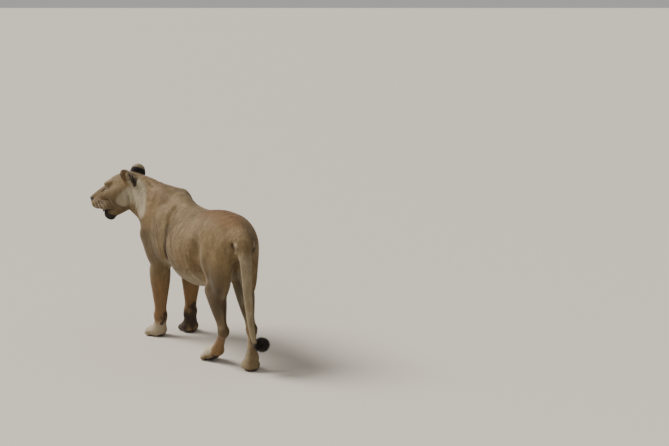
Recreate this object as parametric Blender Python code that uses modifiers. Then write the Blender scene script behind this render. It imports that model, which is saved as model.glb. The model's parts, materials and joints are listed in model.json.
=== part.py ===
"""A lioness, life size, standing on all four feet with her head turned to her left and her mouth
a little open. She faces -Y, her left side is +X, and the floor is z = 0. Metres. The joints and
stations below are measured from the middle of her feet.

The flesh is modelled whole, out to the tips of the coat: lofted lengths for the trunk, neck, tail
and limbs, and an ellipsoid for each muscle, fused by a voxel remesh. Thin cuts then part it into
the lengths that a person would name. Eyes, ears, nose pad, tongue and tail tuft are made on their own.
"""

import math

import bmesh
import bpy
import numpy as np
from mathutils import Matrix, Vector

# Driving dimensions
GAP = 0.0004  # between neighbours
VOXEL = 0.0065  # of the remesh that fuses the flesh
SMOOTHING = 7  # rounds of smoothing after it
FLESH_TRIANGLES = 3000
SCRAP = 2e-5  # cubic metres: a body under this is a scrap between two cuts
FLOOR_DEPTH = 0.05
HEAD_AT = Vector((0.208, -0.595, 0.871))  # centre of the braincase
HEAD_YAW = math.radians(46)  # to her left
HEAD_PITCH = math.radians(15)  # nose down
JAW_OPEN = math.radians(17)
EYE_AT = (0.096, 0.0500, 0.026)  # forward, outward and up from HEAD_AT
EYE_RADIUS = 0.0180
PAW_BALL = 0.085  # from the ball of a foot to the tips of its toes
LEFT, RIGHT = 1, -1
X, Y, Z = Vector((1, 0, 0)), Vector((0, 1, 0)), Vector((0, 0, 1))

# Joints of the limbs: (x, y, z). The yaw turns a paw towards her left.
FORE_LIMBS = {
    LEFT: dict(
        blade=(0.080, -0.300, 0.840), shoulder=(0.132, -0.425, 0.610), elbow=(0.112, -0.325, 0.455),
        wrist=(0.096, -0.375, 0.130), ball=(0.100, -0.400, 0.0), yaw=30,
    ),
    RIGHT: dict(
        blade=(-0.045, -0.300, 0.826), shoulder=(-0.082, -0.425, 0.610), elbow=(-0.088, -0.335, 0.455),
        wrist=(-0.098, -0.390, 0.135), ball=(-0.100, -0.410, 0.0), yaw=-2,
    ),
}
HIND_LIMBS = {
    LEFT: dict(
        hip=(0.060, 0.430, 0.690), knee=(0.060, 0.368, 0.420), hock=(0.054, 0.482, 0.205),
        toe_joint=(0.036, 0.352, 0.072), ball=(0.040, 0.310, -0.011), yaw=14, heel_up=17,
    ),
    RIGHT: dict(
        hip=(-0.095, 0.420, 0.690), knee=(-0.122, 0.335, 0.420), hock=(-0.052, 0.615, 0.235),
        toe_joint=(-0.058, 0.603, 0.075), ball=(-0.058, 0.585, 0.0), yaw=-20, heel_up=0,
    ),
}
HIND_PAW_SIZE = 0.92  # of a forepaw
MIDDLE = Vector((0.097, -0.005, 0))  # of her outline from above, which goes over the origin at the end

# Stations: x, y, z, half width, half height
TRUNK = [
    (0.048, -0.490, 0.640, 0.075, 0.090), (0.042, -0.435, 0.640, 0.118, 0.160),
    (0.034, -0.345, 0.648, 0.132, 0.205), (0.022, -0.220, 0.638, 0.130, 0.213),
    (0.010, -0.060, 0.612, 0.160, 0.208), (0.004, 0.090, 0.600, 0.202, 0.212),
    (-0.008, 0.220, 0.614, 0.190, 0.200), (-0.018, 0.340, 0.660, 0.155, 0.168),
    (-0.026, 0.450, 0.680, 0.126, 0.120), (-0.030, 0.540, 0.668, 0.078, 0.082),
]
NECK = [
    (0.050, -0.360, 0.735, 0.105, 0.155), (0.092, -0.450, 0.783, 0.098, 0.133),
    (0.148, -0.532, 0.829, 0.086, 0.120), (0.203, -0.598, 0.855, 0.080, 0.104),
]
TAIL = [
    (-0.025, 0.470, 0.735, 0.0550, 0.0550), (-0.022, 0.555, 0.705, 0.0460, 0.0480),
    (-0.016, 0.618, 0.630, 0.0360, 0.0370), (-0.012, 0.648, 0.530, 0.0300, 0.0310),
    (-0.010, 0.668, 0.420, 0.0250, 0.0260), (-0.014, 0.684, 0.310, 0.0205, 0.0215),
    (-0.020, 0.700, 0.225, 0.0175, 0.0185), (-0.029, 0.708, 0.184, 0.0155, 0.0155),
    (-0.046, 0.710, 0.165, 0.0135, 0.0135), (-0.068, 0.710, 0.166, 0.0120, 0.0120),
]
NECK_SIDE = Vector((0.75, 0.66, 0)).normalized()

for old in list(bpy.data.objects):
    bpy.data.objects.remove(old, do_unlink=True)


def new_collection(name):
    made = bpy.data.collections.new(name)
    bpy.context.scene.collection.children.link(made)
    return made


parts = new_collection("lioness")
cutters = new_collection("lioness_cutters")
sheets = new_collection("lioness_cuts")


# ---------------------------------------------------------------------------- modelling helpers
def material(name, colour, roughness):
    made = bpy.data.materials.new(name)
    made.use_nodes = True
    surface = made.node_tree.nodes["Principled BSDF"]
    surface.inputs["Base Color"].default_value = (*colour, 1)
    surface.inputs["Roughness"].default_value = roughness
    surface.inputs["Metallic"].default_value = 0.0
    made.diffuse_color = (*colour, 1)
    return made


def mix(a, b, t):
    return Vector(a).lerp(Vector(b), t)


def axes_of(along, side):
    """Unit vectors: across, the third one, and along the given direction."""
    along = along.normalized()
    across = (side - along * side.dot(along)).normalized()
    return across, along.cross(across), along


def placed(origin, across, third, along):
    return Matrix.Translation(origin) @ Matrix((across, third, along)).transposed().to_4x4()


def smooth_stations(stations, steps):
    """The stations with a Catmull-Rom curve's points between them."""
    given = np.array(stations, float)
    padded = np.vstack([2 * given[0] - given[1], given, 2 * given[-1] - given[-2]])
    dense = []
    for before, a, b, after in zip(padded, padded[1:], padded[2:], padded[3:]):
        for t in np.arange(steps) / steps:
            dense.append(
                0.5 * (2 * a + (b - before) * t + (2 * before - 5 * a + 4 * b - after) * t**2
                       + (3 * a - before - 3 * b + after) * t**3)
            )
    return np.array(dense + [given[-1]])


def add_muscle(bm, a, b, width, depth, side=X, segments=24):
    """An ellipsoid from a to b, with its half width along side."""
    a, b = Vector(a), Vector(b)
    across, third, along = axes_of(b - a, side)
    size = Matrix.Diagonal((width, depth, (b - a).length / 2, 1))
    place = placed((a + b) / 2, across, third, along) @ size
    bmesh.ops.create_uvsphere(bm, u_segments=segments, v_segments=segments * 5 // 8, radius=1, matrix=place)


def add_length(bm, stations, side=X, steps=4, sides=24, end_turns=(25, 50, 70, 84)):
    """A lofted length of body with elliptical sections and rounded ends."""
    dense = smooth_stations(stations, steps)
    centres = [Vector(row[:3]) for row in dense]
    widths = [tuple(row[3:5]) for row in dense]
    for end, other in ((0, 1), (-1, -2)):
        out = (centres[end] - centres[other]).normalized()
        reach = min(widths[end])
        ends = [centres[end] + out * reach * math.sin(turn) for turn in np.radians(end_turns)]
        shrunk = [tuple(w * math.cos(turn) for w in widths[end]) for turn in np.radians(end_turns)]
        if end == 0:
            centres, widths = ends[::-1] + centres, shrunk[::-1] + widths
        else:
            centres, widths = centres + ends, widths + shrunk
    rings = []
    for i, (centre, (width, depth)) in enumerate(zip(centres, widths)):
        along = centres[min(i + 1, len(centres) - 1)] - centres[max(i - 1, 0)]
        across, third, _ = axes_of(along, side)
        rings.append([
            bm.verts.new(centre + across * (width * math.cos(a)) + third * (depth * math.sin(a)))
            for a in np.arange(sides) * math.tau / sides
        ])
    for ring, following in zip(rings, rings[1:]):
        for i in range(sides):
            j = (i + 1) % sides
            bm.faces.new((ring[i], ring[j], following[j], following[i]))
    bm.faces.new(list(reversed(rings[0])))
    bm.faces.new(rings[-1])


def mesh_object(name, bm, collection):
    bmesh.ops.recalc_face_normals(bm, faces=bm.faces)
    mesh = bpy.data.meshes.new(name)
    bm.to_mesh(mesh)
    bm.free()
    made = bpy.data.objects.new(name, mesh)
    collection.objects.link(made)
    return made


def cutter(name, bm):
    made = mesh_object(name, bm, cutters)
    made.hide_render = True
    made.display_type = "WIRE"
    return made


def boolean(target, other, operation="DIFFERENCE"):
    modifier = target.modifiers.new(f"{operation.lower()}_{other.name}", "BOOLEAN")
    modifier.operation = operation
    modifier.object = other
    modifier.solver = "EXACT"


def applied(source, name):
    """A new mesh of the object with its modifiers, and its cutters left behind."""
    bpy.context.view_layer.update()
    evaluated = source.evaluated_get(bpy.context.evaluated_depsgraph_get())
    mesh = bpy.data.meshes.new_from_object(evaluated)
    mesh.name = name
    return mesh


def fused_mesh(made, voxel, smoothing, triangles):
    """One soft closed surface from overlapping closed shells, with few facets."""
    remesh = made.modifiers.new("fuse", "REMESH")
    remesh.mode = "VOXEL"
    remesh.voxel_size = voxel
    smooth = made.modifiers.new("soften", "SMOOTH")
    smooth.factor = 0.5
    smooth.iterations = smoothing
    made.data = applied(made, f"{made.name}_dense")
    made.modifiers.clear()
    facet = made.modifiers.new("facet", "DECIMATE")
    facet.ratio = triangles / (2 * len(made.data.polygons))
    facet.use_collapse_triangulate = True
    return applied(made, f"{made.name}_fused")


# ---------------------------------------------------------------------------- head's own directions
def head_directions():
    level = Vector((math.sin(HEAD_YAW), -math.cos(HEAD_YAW), 0))
    outward = Vector((math.cos(HEAD_YAW), math.sin(HEAD_YAW), 0))
    forward = level * math.cos(HEAD_PITCH) - Z * math.sin(HEAD_PITCH)
    return forward, outward, level * math.sin(HEAD_PITCH) + Z * math.cos(HEAD_PITCH)


FORWARD, OUTWARD, UPWARD = head_directions()


def on_head(forward, outward, upward):
    return HEAD_AT + FORWARD * forward + OUTWARD * outward + UPWARD * upward


JAW_HINGE = on_head(0.015, 0, -0.045)
JAW_FORWARD = FORWARD * math.cos(JAW_OPEN) - UPWARD * math.sin(JAW_OPEN)
JAW_UPWARD = FORWARD * math.sin(JAW_OPEN) + UPWARD * math.cos(JAW_OPEN)


def on_jaw(forward, outward, upward):
    return JAW_HINGE + JAW_FORWARD * forward + OUTWARD * outward + JAW_UPWARD * upward


def head_stations(place, rows):
    """Stations from (forward, upward, half width, half height) on the head's middle plane."""
    return [(*place(forward, 0, upward), width, height) for forward, upward, width, height in rows]


def eye_axes(side):
    """Where an eye looks, along its slit towards the outer corner, and across its slit."""
    gaze = (FORWARD * 0.80 + OUTWARD * (0.56 * side) + UPWARD * 0.18).normalized()
    slit = OUTWARD * (0.80 * side) - FORWARD * 0.52 + UPWARD * 0.26
    slit = (slit - gaze * slit.dot(gaze)).normalized()
    return gaze, slit, slit.cross(gaze)


def ear_axes(side):
    """An ear's root, its long axis, the way its opening faces, and across its opening."""
    root = on_head(-0.050 if side == LEFT else -0.045, 0.070 * side, 0.040 if side == LEFT else 0.046)
    lean, rise = (0.60, 0.70) if side == LEFT else (0.50, 0.84)
    long = (OUTWARD * (lean * side) + UPWARD * rise - FORWARD * 0.26).normalized()
    opening = FORWARD * 0.28 + OUTWARD * 0.96 if side == LEFT else FORWARD * 0.60 - OUTWARD * 0.70
    opening = (opening - long * opening.dot(long)).normalized()
    return root, long, opening, long.cross(opening)


# ---------------------------------------------------------------------------- flesh
def add_trunk(bm):
    add_length(bm, TRUNK)
    add_muscle(bm, (0.050, -0.42, 0.815), (0.012, -0.14, 0.815), 0.060, 0.060)  # withers
    add_muscle(bm, (-0.010, 0.16, 0.772), (-0.022, 0.48, 0.748), 0.083, 0.057)  # croup
    add_length(bm, NECK, NECK_SIDE)


def add_fore_limb(bm, side):
    joints = {name: Vector(at) for name, at in FORE_LIMBS[side].items() if name != "yaw"}
    blade, shoulder, elbow, wrist = (joints[name] for name in ("blade", "shoulder", "elbow", "wrist"))
    out = X * side
    add_muscle(bm, blade - out * 0.005 + Z * 0.035, shoulder + Vector((0, -0.010, -0.020)), 0.057, 0.120)
    upper, lower = blade + out * 0.034 - Z * 0.050, elbow + out * 0.008 + Z * 0.010
    add_muscle(bm, upper + Y * 0.100, lower + Y * 0.056, 0.059, 0.114)  # triceps
    rows = [
        (shoulder, 0.060, 0.087), (mix(shoulder, elbow, 0.55), 0.062, 0.090),
        (elbow, 0.059, 0.079), (mix(elbow, wrist, 0.16), 0.063, 0.081),
        (mix(elbow, wrist, 0.36), 0.059, 0.074), (mix(elbow, wrist, 0.62), 0.047, 0.056),
        (mix(elbow, wrist, 0.84), 0.038, 0.043), (wrist, 0.040, 0.041),
    ]
    add_length(bm, [(*at, width, depth) for at, width, depth in rows])
    add_muscle(bm, elbow + Vector((0, 0.040, 0.040)), elbow + Vector((0, 0.050, -0.035)), 0.030, 0.034)
    add_muscle(bm, mix(elbow, wrist, 0.02) - Y * 0.030, mix(elbow, wrist, 0.50) - Y * 0.012, 0.038, 0.032)
    add_muscle(bm, wrist + Vector((0, 0.030, 0.030)), wrist + Vector((0, 0.030, -0.020)), 0.020, 0.016)
    add_paw(bm, joints["ball"], FORE_LIMBS[side]["yaw"], 0, wrist, 1.0)


def add_hind_limb(bm, side):
    limb = HIND_LIMBS[side]
    joints = {name: Vector(at) for name, at in limb.items() if name not in ("yaw", "heel_up")}
    hip, knee, hock, toe_joint = (joints[name] for name in ("hip", "knee", "hock", "toe_joint"))
    out = X * side
    thigh_end = mix(hip, knee, 0.80) + Y * 0.040
    add_muscle(bm, hip - out * 0.010 + Vector((0, -0.040, 0.100)), thigh_end, 0.078, 0.130)
    front_end = knee + Vector((0, -0.020, -0.015))
    add_muscle(bm, hip + out * 0.005 + Vector((0, -0.090, 0.030)), front_end, 0.060, 0.080)
    hamstring_end = mix(knee, hock, 0.35) + Vector((0, 0.045, 0.020))
    add_muscle(bm, hip - out * 0.012 + Vector((0, 0.085, 0.020)), hamstring_end, 0.054, 0.066)
    between = (mix(hip, knee, 0.55) + Y * 0.055, mix(knee, hock, 0.12) + Y * 0.055)
    add_muscle(bm, *between, 0.032, 0.052)
    fold_end = knee - out * 0.010 + Vector((0, -0.075, 0.050))
    add_muscle(bm, hip + Vector((0, -0.130, 0.030)), fold_end, 0.036, 0.066)
    rows = [
        (knee, 0.054, 0.072), (mix(knee, hock, 0.25) + Vector((0, 0.014, -0.002)), 0.052, 0.068),
        (mix(knee, hock, 0.50) + Vector((0, 0.008, -0.002)), 0.042, 0.053),
        (mix(knee, hock, 0.76), 0.031, 0.039), (hock + Vector((0, -0.006, 0.004)), 0.030, 0.036),
    ]
    add_length(bm, [(*at, width, depth) for at, width, depth in rows])
    tendon_start = mix(knee, hock, 0.55) + Vector((0, 0.045, 0.028))
    add_muscle(bm, tendon_start, hock + Vector((0, 0.022, 0.016)), 0.014, 0.018)
    add_muscle(bm, hock + Vector((0, 0.014, 0.028)), hock + Vector((0, 0.007, -0.030)), 0.023, 0.023)
    foot = [(hock, 0.029, 0.034), (mix(hock, toe_joint, 0.5), 0.029, 0.029), (toe_joint, 0.036, 0.032)]
    add_length(bm, [(*at, width, depth) for at, width, depth in foot])
    add_paw(bm, joints["ball"], limb["yaw"], limb["heel_up"], toe_joint, HIND_PAW_SIZE)


def add_paw(bm, ball, yaw, heel_up, ankle, size):
    """Four toes round a main pad, turned about the toes' tips when the heel is lifted."""
    yaw, lift = math.radians(yaw), math.radians(heel_up)
    level = Vector((math.sin(yaw), -math.cos(yaw), 0))
    across = Vector((math.cos(yaw), math.sin(yaw), 0))
    ahead = level * math.cos(lift) - Z * math.sin(lift)
    above = level * math.sin(lift) + Z * math.cos(lift)
    tips = ball + level * PAW_BALL * size

    def on_paw(forward, outward, upward):
        return tips + (ahead * (forward - PAW_BALL) + across * outward + above * upward) * size

    middle = mix(ankle, on_paw(-0.012, 0, 0.055), 0.5)
    rows = [(ankle, 0.037, 0.037), (middle, 0.039, 0.036), (on_paw(-0.005, 0, 0.048), 0.047, 0.039)]
    add_length(bm, [(*at, width * size, depth * size) for at, width, depth in rows], across)
    add_muscle(bm, on_paw(-0.045, 0, 0.030), on_paw(0.065, 0, 0.034), 0.055 * size, 0.037 * size, across)
    for outward, reach, height in ((-0.0385, 0.060, 0.040), (-0.0135, 0.078, 0.046),
                                   (0.0135, 0.078, 0.046), (0.0385, 0.060, 0.040)):
        knuckle_from = on_paw(reach - 0.055, outward * 0.86, height - 0.004)
        knuckle_to = on_paw(reach + 0.004, outward * 1.02, height * 0.62)
        add_muscle(bm, knuckle_from, knuckle_to, 0.0175 * size, 0.0175 * size, across)
        toe_from = on_paw(reach - 0.030, outward, 0.022)
        toe_to = on_paw(reach + 0.014, outward * 1.04, 0.019)
        add_muscle(bm, toe_from, toe_to, 0.0172 * size, 0.0195 * size, across)
    add_muscle(bm, on_paw(-0.035, 0, 0.012), on_paw(0.028, 0, 0.010), 0.036 * size, 0.015 * size, across)


def add_head(bm):
    add_muscle(bm, on_head(-0.105, 0, -0.004), on_head(0.125, 0, 0.006), 0.081, 0.079, OUTWARD)  # braincase
    add_muscle(bm, on_head(-0.060, 0, 0.040), on_head(0.130, 0, 0.036), 0.058, 0.042, OUTWARD)  # forehead
    for side in (LEFT, RIGHT):
        cheek = (on_head(-0.050, 0.056 * side, -0.035), on_head(0.100, 0.060 * side, -0.050))
        add_muscle(bm, *cheek, 0.047, 0.065, OUTWARD)
        bone = (on_head(0.015, 0.084 * side, -0.010), on_head(0.135, 0.054 * side, -0.016))
        add_muscle(bm, *bone, 0.022, 0.028, OUTWARD)
        brow = (on_head(0.058, 0.052 * side, 0.052), on_head(0.122, 0.038 * side, 0.048))
        add_muscle(bm, *brow, 0.024, 0.017, OUTWARD)
        whisker_pad = (on_head(0.135, 0.032 * side, -0.046), on_head(0.237, 0.025 * side, -0.048))
        add_muscle(bm, *whisker_pad, 0.030, 0.031, OUTWARD)
    muzzle = [(0.080, -0.004, 0.063, 0.056), (0.140, -0.020, 0.053, 0.051),
              (0.185, -0.032, 0.047, 0.043), (0.218, -0.036, 0.041, 0.033)]
    add_length(bm, head_stations(on_head, muzzle), OUTWARD)
    bridge = [(0.100, 0.028, 0.036, 0.020), (0.150, 0.019, 0.032, 0.019),
              (0.200, 0.003, 0.030, 0.018), (0.236, -0.011, 0.028, 0.016)]
    add_length(bm, head_stations(on_head, bridge), OUTWARD)
    jaw = [(0.000, -0.030, 0.071, 0.051), (0.060, -0.035, 0.061, 0.045),
           (0.115, -0.040, 0.049, 0.035), (0.158, -0.037, 0.037, 0.033)]
    add_length(bm, head_stations(on_jaw, jaw), OUTWARD)
    add_muscle(bm, on_jaw(0.125, 0, -0.045), on_jaw(0.187, 0, -0.039), 0.033, 0.039, OUTWARD)  # chin
    throat = [(-0.060, -0.055, 0.071, 0.066), (0.030, -0.075, 0.063, 0.046)]
    add_length(bm, head_stations(on_head, throat), OUTWARD)


def flesh_mesh():
    bm = bmesh.new()
    add_trunk(bm)
    add_length(bm, TAIL)
    for side in (LEFT, RIGHT):
        add_fore_limb(bm, side)
        add_hind_limb(bm, side)
    add_head(bm)
    return fused_mesh(cutter("flesh", bm), VOXEL, SMOOTHING, FLESH_TRIANGLES)


# ---------------------------------------------------------------------------- openings and cuts
def floor_block():
    bm = bmesh.new()
    bmesh.ops.create_cube(bm, size=1, matrix=Matrix.Translation((0, 0, -FLOOR_DEPTH)) @ Matrix.Diagonal(
        (2, 3, 2 * FLOOR_DEPTH, 1)))
    return cutter("floor_block", bm)


def mouth_wedge():
    rows = [(0.100, -0.084, 0.050, 0.003), (0.150, -0.092, 0.060, 0.005),
            (0.200, -0.098, 0.065, 0.009), (0.270, -0.105, 0.065, 0.013)]
    bm = bmesh.new()
    add_length(bm, head_stations(on_head, rows), OUTWARD, steps=1, sides=10, end_turns=(60,))
    return cutter("mouth_wedge", bm)


def lid_opening(side):
    centre = on_head(EYE_AT[0], EYE_AT[1] * side, EYE_AT[2])
    gaze, slit, across = eye_axes(side)
    bm = bmesh.new()
    middle = centre + gaze * 0.021
    add_muscle(bm, middle - slit * 0.0155, middle + slit * 0.0155, 0.0080, 0.016, across, segments=10)
    return cutter(f"lid_opening_{side}", bm)


def sheet(name, point, normal, side, half_across, half_third):
    """A flat cut, as thick as the gap between neighbours, square to the normal."""
    across, third, along = axes_of(Vector(normal), Vector(side))
    size = Matrix.Diagonal((2 * half_across, 2 * half_third, GAP, 1))
    bm = bmesh.new()
    bmesh.ops.create_cube(bm, size=1, matrix=placed(Vector(point), across, third, along) @ size)
    made = cutter(f"cut_{name}", bm)
    cutters.objects.unlink(made)
    sheets.objects.link(made)


def shell(name, centre, radii, floor):
    """An egg-shaped cut, as thick as the gap between neighbours, open below the floor height."""
    bm = bmesh.new()
    size = Matrix.Diagonal((*radii, 1))
    bmesh.ops.create_uvsphere(
        bm, u_segments=12, v_segments=8, radius=1, matrix=Matrix.Translation(centre) @ size
    )
    everything = list(bm.verts) + list(bm.edges) + list(bm.faces)
    bmesh.ops.bisect_plane(
        bm, geom=everything, dist=1e-6, plane_co=(0, 0, floor - 0.01), plane_no=Z, clear_inner=True
    )
    made = cutter(f"cut_{name}", bm)
    wall = made.modifiers.new("wall", "SOLIDIFY")
    wall.thickness = GAP
    cutters.objects.unlink(made)
    sheets.objects.link(made)


ELBOW_CUT, KNEE_CUT = 0.425, 0.400  # heights of the level cuts across the limbs

# Flat cuts: point, normal, direction of the first half size, the two half sizes
CUTS = {
    "chest": ((0.02, -0.165, 0.62), Y, X, 0.30, 0.32),
    "loin": ((0.00, 0.170, 0.62), Y, X, 0.30, 0.32),
    "neck_root": ((0.108, -0.476, 0.763), (0.528, -0.773, 0.358), NECK_SIDE, 0.16, 0.22),
    "nape": (on_head(-0.062, 0, -0.082), FORWARD * 0.946 + UPWARD * 0.324, OUTWARD, 0.15, 0.145),
    "jaw_root": (on_head(0.063, 0, -0.109), FORWARD * 0.55 - UPWARD * 0.83, OUTWARD, 0.11, 0.060),
    "tail_root": ((-0.0155, 0.627, 0.600), (0.04, 0.30, -0.95), X, 0.060, 0.050),
    "tail_middle": ((-0.0105, 0.660, 0.455), (0.0, 0.18, -0.98), X, 0.045, 0.045),
    "tail_low": ((-0.0150, 0.686, 0.295), (0.0, 0.17, -0.98), X, 0.040, 0.040),
}
# Egg-shaped cuts round the upper limbs: centre, radii, height where the level cut takes over
SHELLS = {
    "shoulder_left": ((0.142, -0.345, 0.590), (0.092, 0.142, 0.255), ELBOW_CUT),
    "shoulder_right": ((-0.112, -0.350, 0.585), (0.088, 0.142, 0.255), ELBOW_CUT),
    "thigh_left": ((0.070, 0.398, 0.585), (0.096, 0.188, 0.260), KNEE_CUT),
    "thigh_right": ((-0.122, 0.380, 0.585), (0.086, 0.185, 0.260), KNEE_CUT),
}


def add_cuts():
    for name, cut in CUTS.items():
        sheet(name, *cut)
    for name, egg in SHELLS.items():
        shell(name, *egg)
    for side, word in ((LEFT, "left"), (RIGHT, "right")):
        fore, hind = FORE_LIMBS[side], HIND_LIMBS[side]
        elbow, wrist = Vector(fore["elbow"]), Vector(fore["wrist"])
        sheet(f"elbow_{word}", (elbow.x, elbow.y, ELBOW_CUT), Z, X, 0.075, 0.098)
        sheet(f"wrist_{word}", wrist + Z * 0.012, Z, X, 0.060, 0.065)
        knee, hock, toe_joint = Vector(hind["knee"]), Vector(hind["hock"]), Vector(hind["toe_joint"])
        sheet(f"knee_{word}", (knee.x, knee.y + 0.045, KNEE_CUT), Z, X, 0.080, 0.150)
        shin, foot = (hock - knee).normalized(), (toe_joint - hock).normalized()
        sheet(f"hock_{word}", mix(knee, hock, 0.84), shin, X, 0.060, 0.080)
        sheet(f"hind_toe_joint_{word}", mix(hock, toe_joint, 0.72), foot, X, 0.055, 0.055)


def bodies_of(mesh):
    """A bmesh for each closed body in the mesh."""
    whole = bmesh.new()
    whole.from_mesh(mesh)
    unseen = set(whole.verts)
    found = []
    while unseen:
        reached = [unseen.pop()]
        body = {vert.index for vert in reached}
        while reached:
            for edge in reached.pop().link_edges:
                for vert in set(edge.verts) & unseen:
                    unseen.discard(vert)
                    body.add(vert.index)
                    reached.append(vert)
        one = whole.copy()
        bmesh.ops.delete(one, geom=[v for v in one.verts if v.index not in body], context="VERTS")
        found.append(one)
    whole.free()
    return found


def middle_of(bm):
    return sum((vert.co for vert in bm.verts), Vector()) / len(bm.verts)


# ---------------------------------------------------------------------------- pieces made on their own
def swollen(source, name, by):
    """A copy of a closed mesh with its surface moved outwards, as a cutter."""
    made = bpy.data.objects.new(name, source.copy())
    cutters.objects.link(made)
    made.hide_render = True
    made.display_type = "WIRE"
    grow = made.modifiers.new("grow", "DISPLACE")
    grow.mid_level = 0
    grow.strength = by
    return made


def finish_piece(made, surface):
    made.data.materials.append(surface)
    made.data.shade_smooth()


def add_ear(name, side, head_form, surface):
    """A cup of skin and hair, set on the skull with its opening forward and outward."""
    root, long, opening, across = ear_axes(side)
    bm = bmesh.new()
    add_muscle(bm, root - long * 0.035, root + long * 0.079, 0.049, 0.029, across, segments=14)
    made = mesh_object(name, bm, parts)
    cup = bmesh.new()
    cup_from, cup_to = root + opening * 0.018 + long * 0.010, root + opening * 0.027 + long * 0.081
    add_muscle(cup, cup_from, cup_to, 0.039, 0.022, across, segments=12)
    boolean(made, cutter(f"{name}_cup", cup))
    boolean(made, head_form)
    finish_piece(made, surface)


def eye_form(side, grow=0.0):
    bm = bmesh.new()
    centre = Matrix.Translation(on_head(EYE_AT[0], EYE_AT[1] * side, EYE_AT[2]))
    bmesh.ops.create_uvsphere(bm, u_segments=12, v_segments=8, radius=EYE_RADIUS + grow, matrix=centre)
    return bm


def nose_form(grow=0.0):
    """The bare pad at the end of the nose."""
    bm = bmesh.new()
    half, depth = 0.027 + grow, 0.017 + grow
    ends = (on_head(0.240 - 0.015 - grow, 0, -0.017), on_head(0.240 + 0.016 + grow, 0, -0.019))
    add_muscle(bm, *ends, half, depth, OUTWARD, segments=14)
    return bm


def tongue_form(grow=0.0):
    rows = [(0.085, 0.004, 0.024, 0.008), (0.115, 0.006, 0.026, 0.008), (0.148, 0.004, 0.022, 0.007)]
    bm = bmesh.new()
    rows = [(ahead, up, half + grow, depth + grow) for ahead, up, half, depth in rows]
    add_length(bm, head_stations(on_jaw, rows), OUTWARD, steps=1, sides=10, end_turns=(45,))
    return bm


def tuft_form(grow=0.0):
    """The brush at the end of the tail, swung to her right."""
    bm = bmesh.new()
    start, end = Vector((-0.016, 0.707, 0.146)), Vector((-0.112, 0.712, 0.186))
    reach = (end - start).normalized() * grow
    add_muscle(bm, start - reach, end + reach, 0.045 + grow, 0.044 + grow, Y, segments=14)
    return bm


# ---------------------------------------------------------------------------- the whole animal
# Each length of flesh: a point near its middle, and which coat it has
LENGTHS = {
    "trunk_front": ((0.030, -0.367, 0.657), "coat"),
    "trunk_middle": ((0.009, -0.003, 0.616), "coat"),
    "trunk_rear": ((-0.027, 0.395, 0.600), "coat"),
    "neck": ((0.123, -0.498, 0.784), "coat"),
    "head": ((0.279, -0.663, 0.815), "face"),
    "lower_jaw": ((0.271, -0.654, 0.733), "dark"),
    "foreleg_left_upper": ((0.140, -0.361, 0.602), "coat"),
    "foreleg_left_forearm": ((0.104, -0.340, 0.316), "red"),
    "foreleg_left_paw": ((0.107, -0.404, 0.065), "pale"),
    "foreleg_right_upper": ((-0.100, -0.359, 0.582), "coat"),
    "foreleg_right_forearm": ((-0.089, -0.352, 0.317), "red"),
    "foreleg_right_paw": ((-0.100, -0.418, 0.066), "dark"),
    "hindleg_left_thigh": ((0.060, 0.408, 0.557), "coat"),
    "hindleg_left_shin": ((0.050, 0.414, 0.342), "coat"),
    "hindleg_left_foot": ((0.049, 0.440, 0.174), "coat"),
    "hindleg_left_paw": ((0.045, 0.307, 0.050), "pale"),
    "hindleg_right_thigh": ((-0.113, 0.386, 0.546), "coat"),
    "hindleg_right_shin": ((-0.092, 0.446, 0.351), "coat"),
    "hindleg_right_foot": ((-0.057, 0.597, 0.206), "coat"),
    "hindleg_right_paw": ((-0.063, 0.579, 0.051), "pale"),
    "tail_upper": ((-0.013, 0.645, 0.531), "coat"),
    "tail_middle": ((-0.013, 0.673, 0.381), "coat"),
    "tail_lower": ((-0.032, 0.705, 0.215), "coat"),
}
SURFACES = {
    "coat": material("tawny_coat", (0.33, 0.235, 0.135), 0.85),
    "face": material("face_coat", (0.34, 0.25, 0.155), 0.85),
    "red": material("red_tawny_coat", (0.34, 0.20, 0.115), 0.85),
    "pale": material("pale_coat", (0.50, 0.40, 0.27), 0.85),
    "dark": material("dark_coat", (0.075, 0.055, 0.042), 0.85),
    "black": material("black_hair", (0.018, 0.015, 0.013), 0.80),
    "skin": material("nose_skin", (0.055, 0.035, 0.030), 0.45),
    "eye": material("eye_amber", (0.32, 0.16, 0.035), 0.12),
    "tongue": material("tongue_pink", (0.42, 0.16, 0.14), 0.40),
}


def part_flesh(mesh):
    """Gives each body of the parted flesh its name: that of the nearest listed middle."""
    for body in bodies_of(mesh):
        if body.calc_volume() < SCRAP:
            continue
        middle = middle_of(body)
        name = min(LENGTHS, key=lambda n: (Vector(LENGTHS[n][0]) - middle).length)
        if name in parts.objects:
            raise RuntimeError(f"two bodies are nearest to {name}: one at {middle}")
        finish_piece(mesh_object(name, body, parts), SURFACES[LENGTHS[name][1]])


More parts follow.
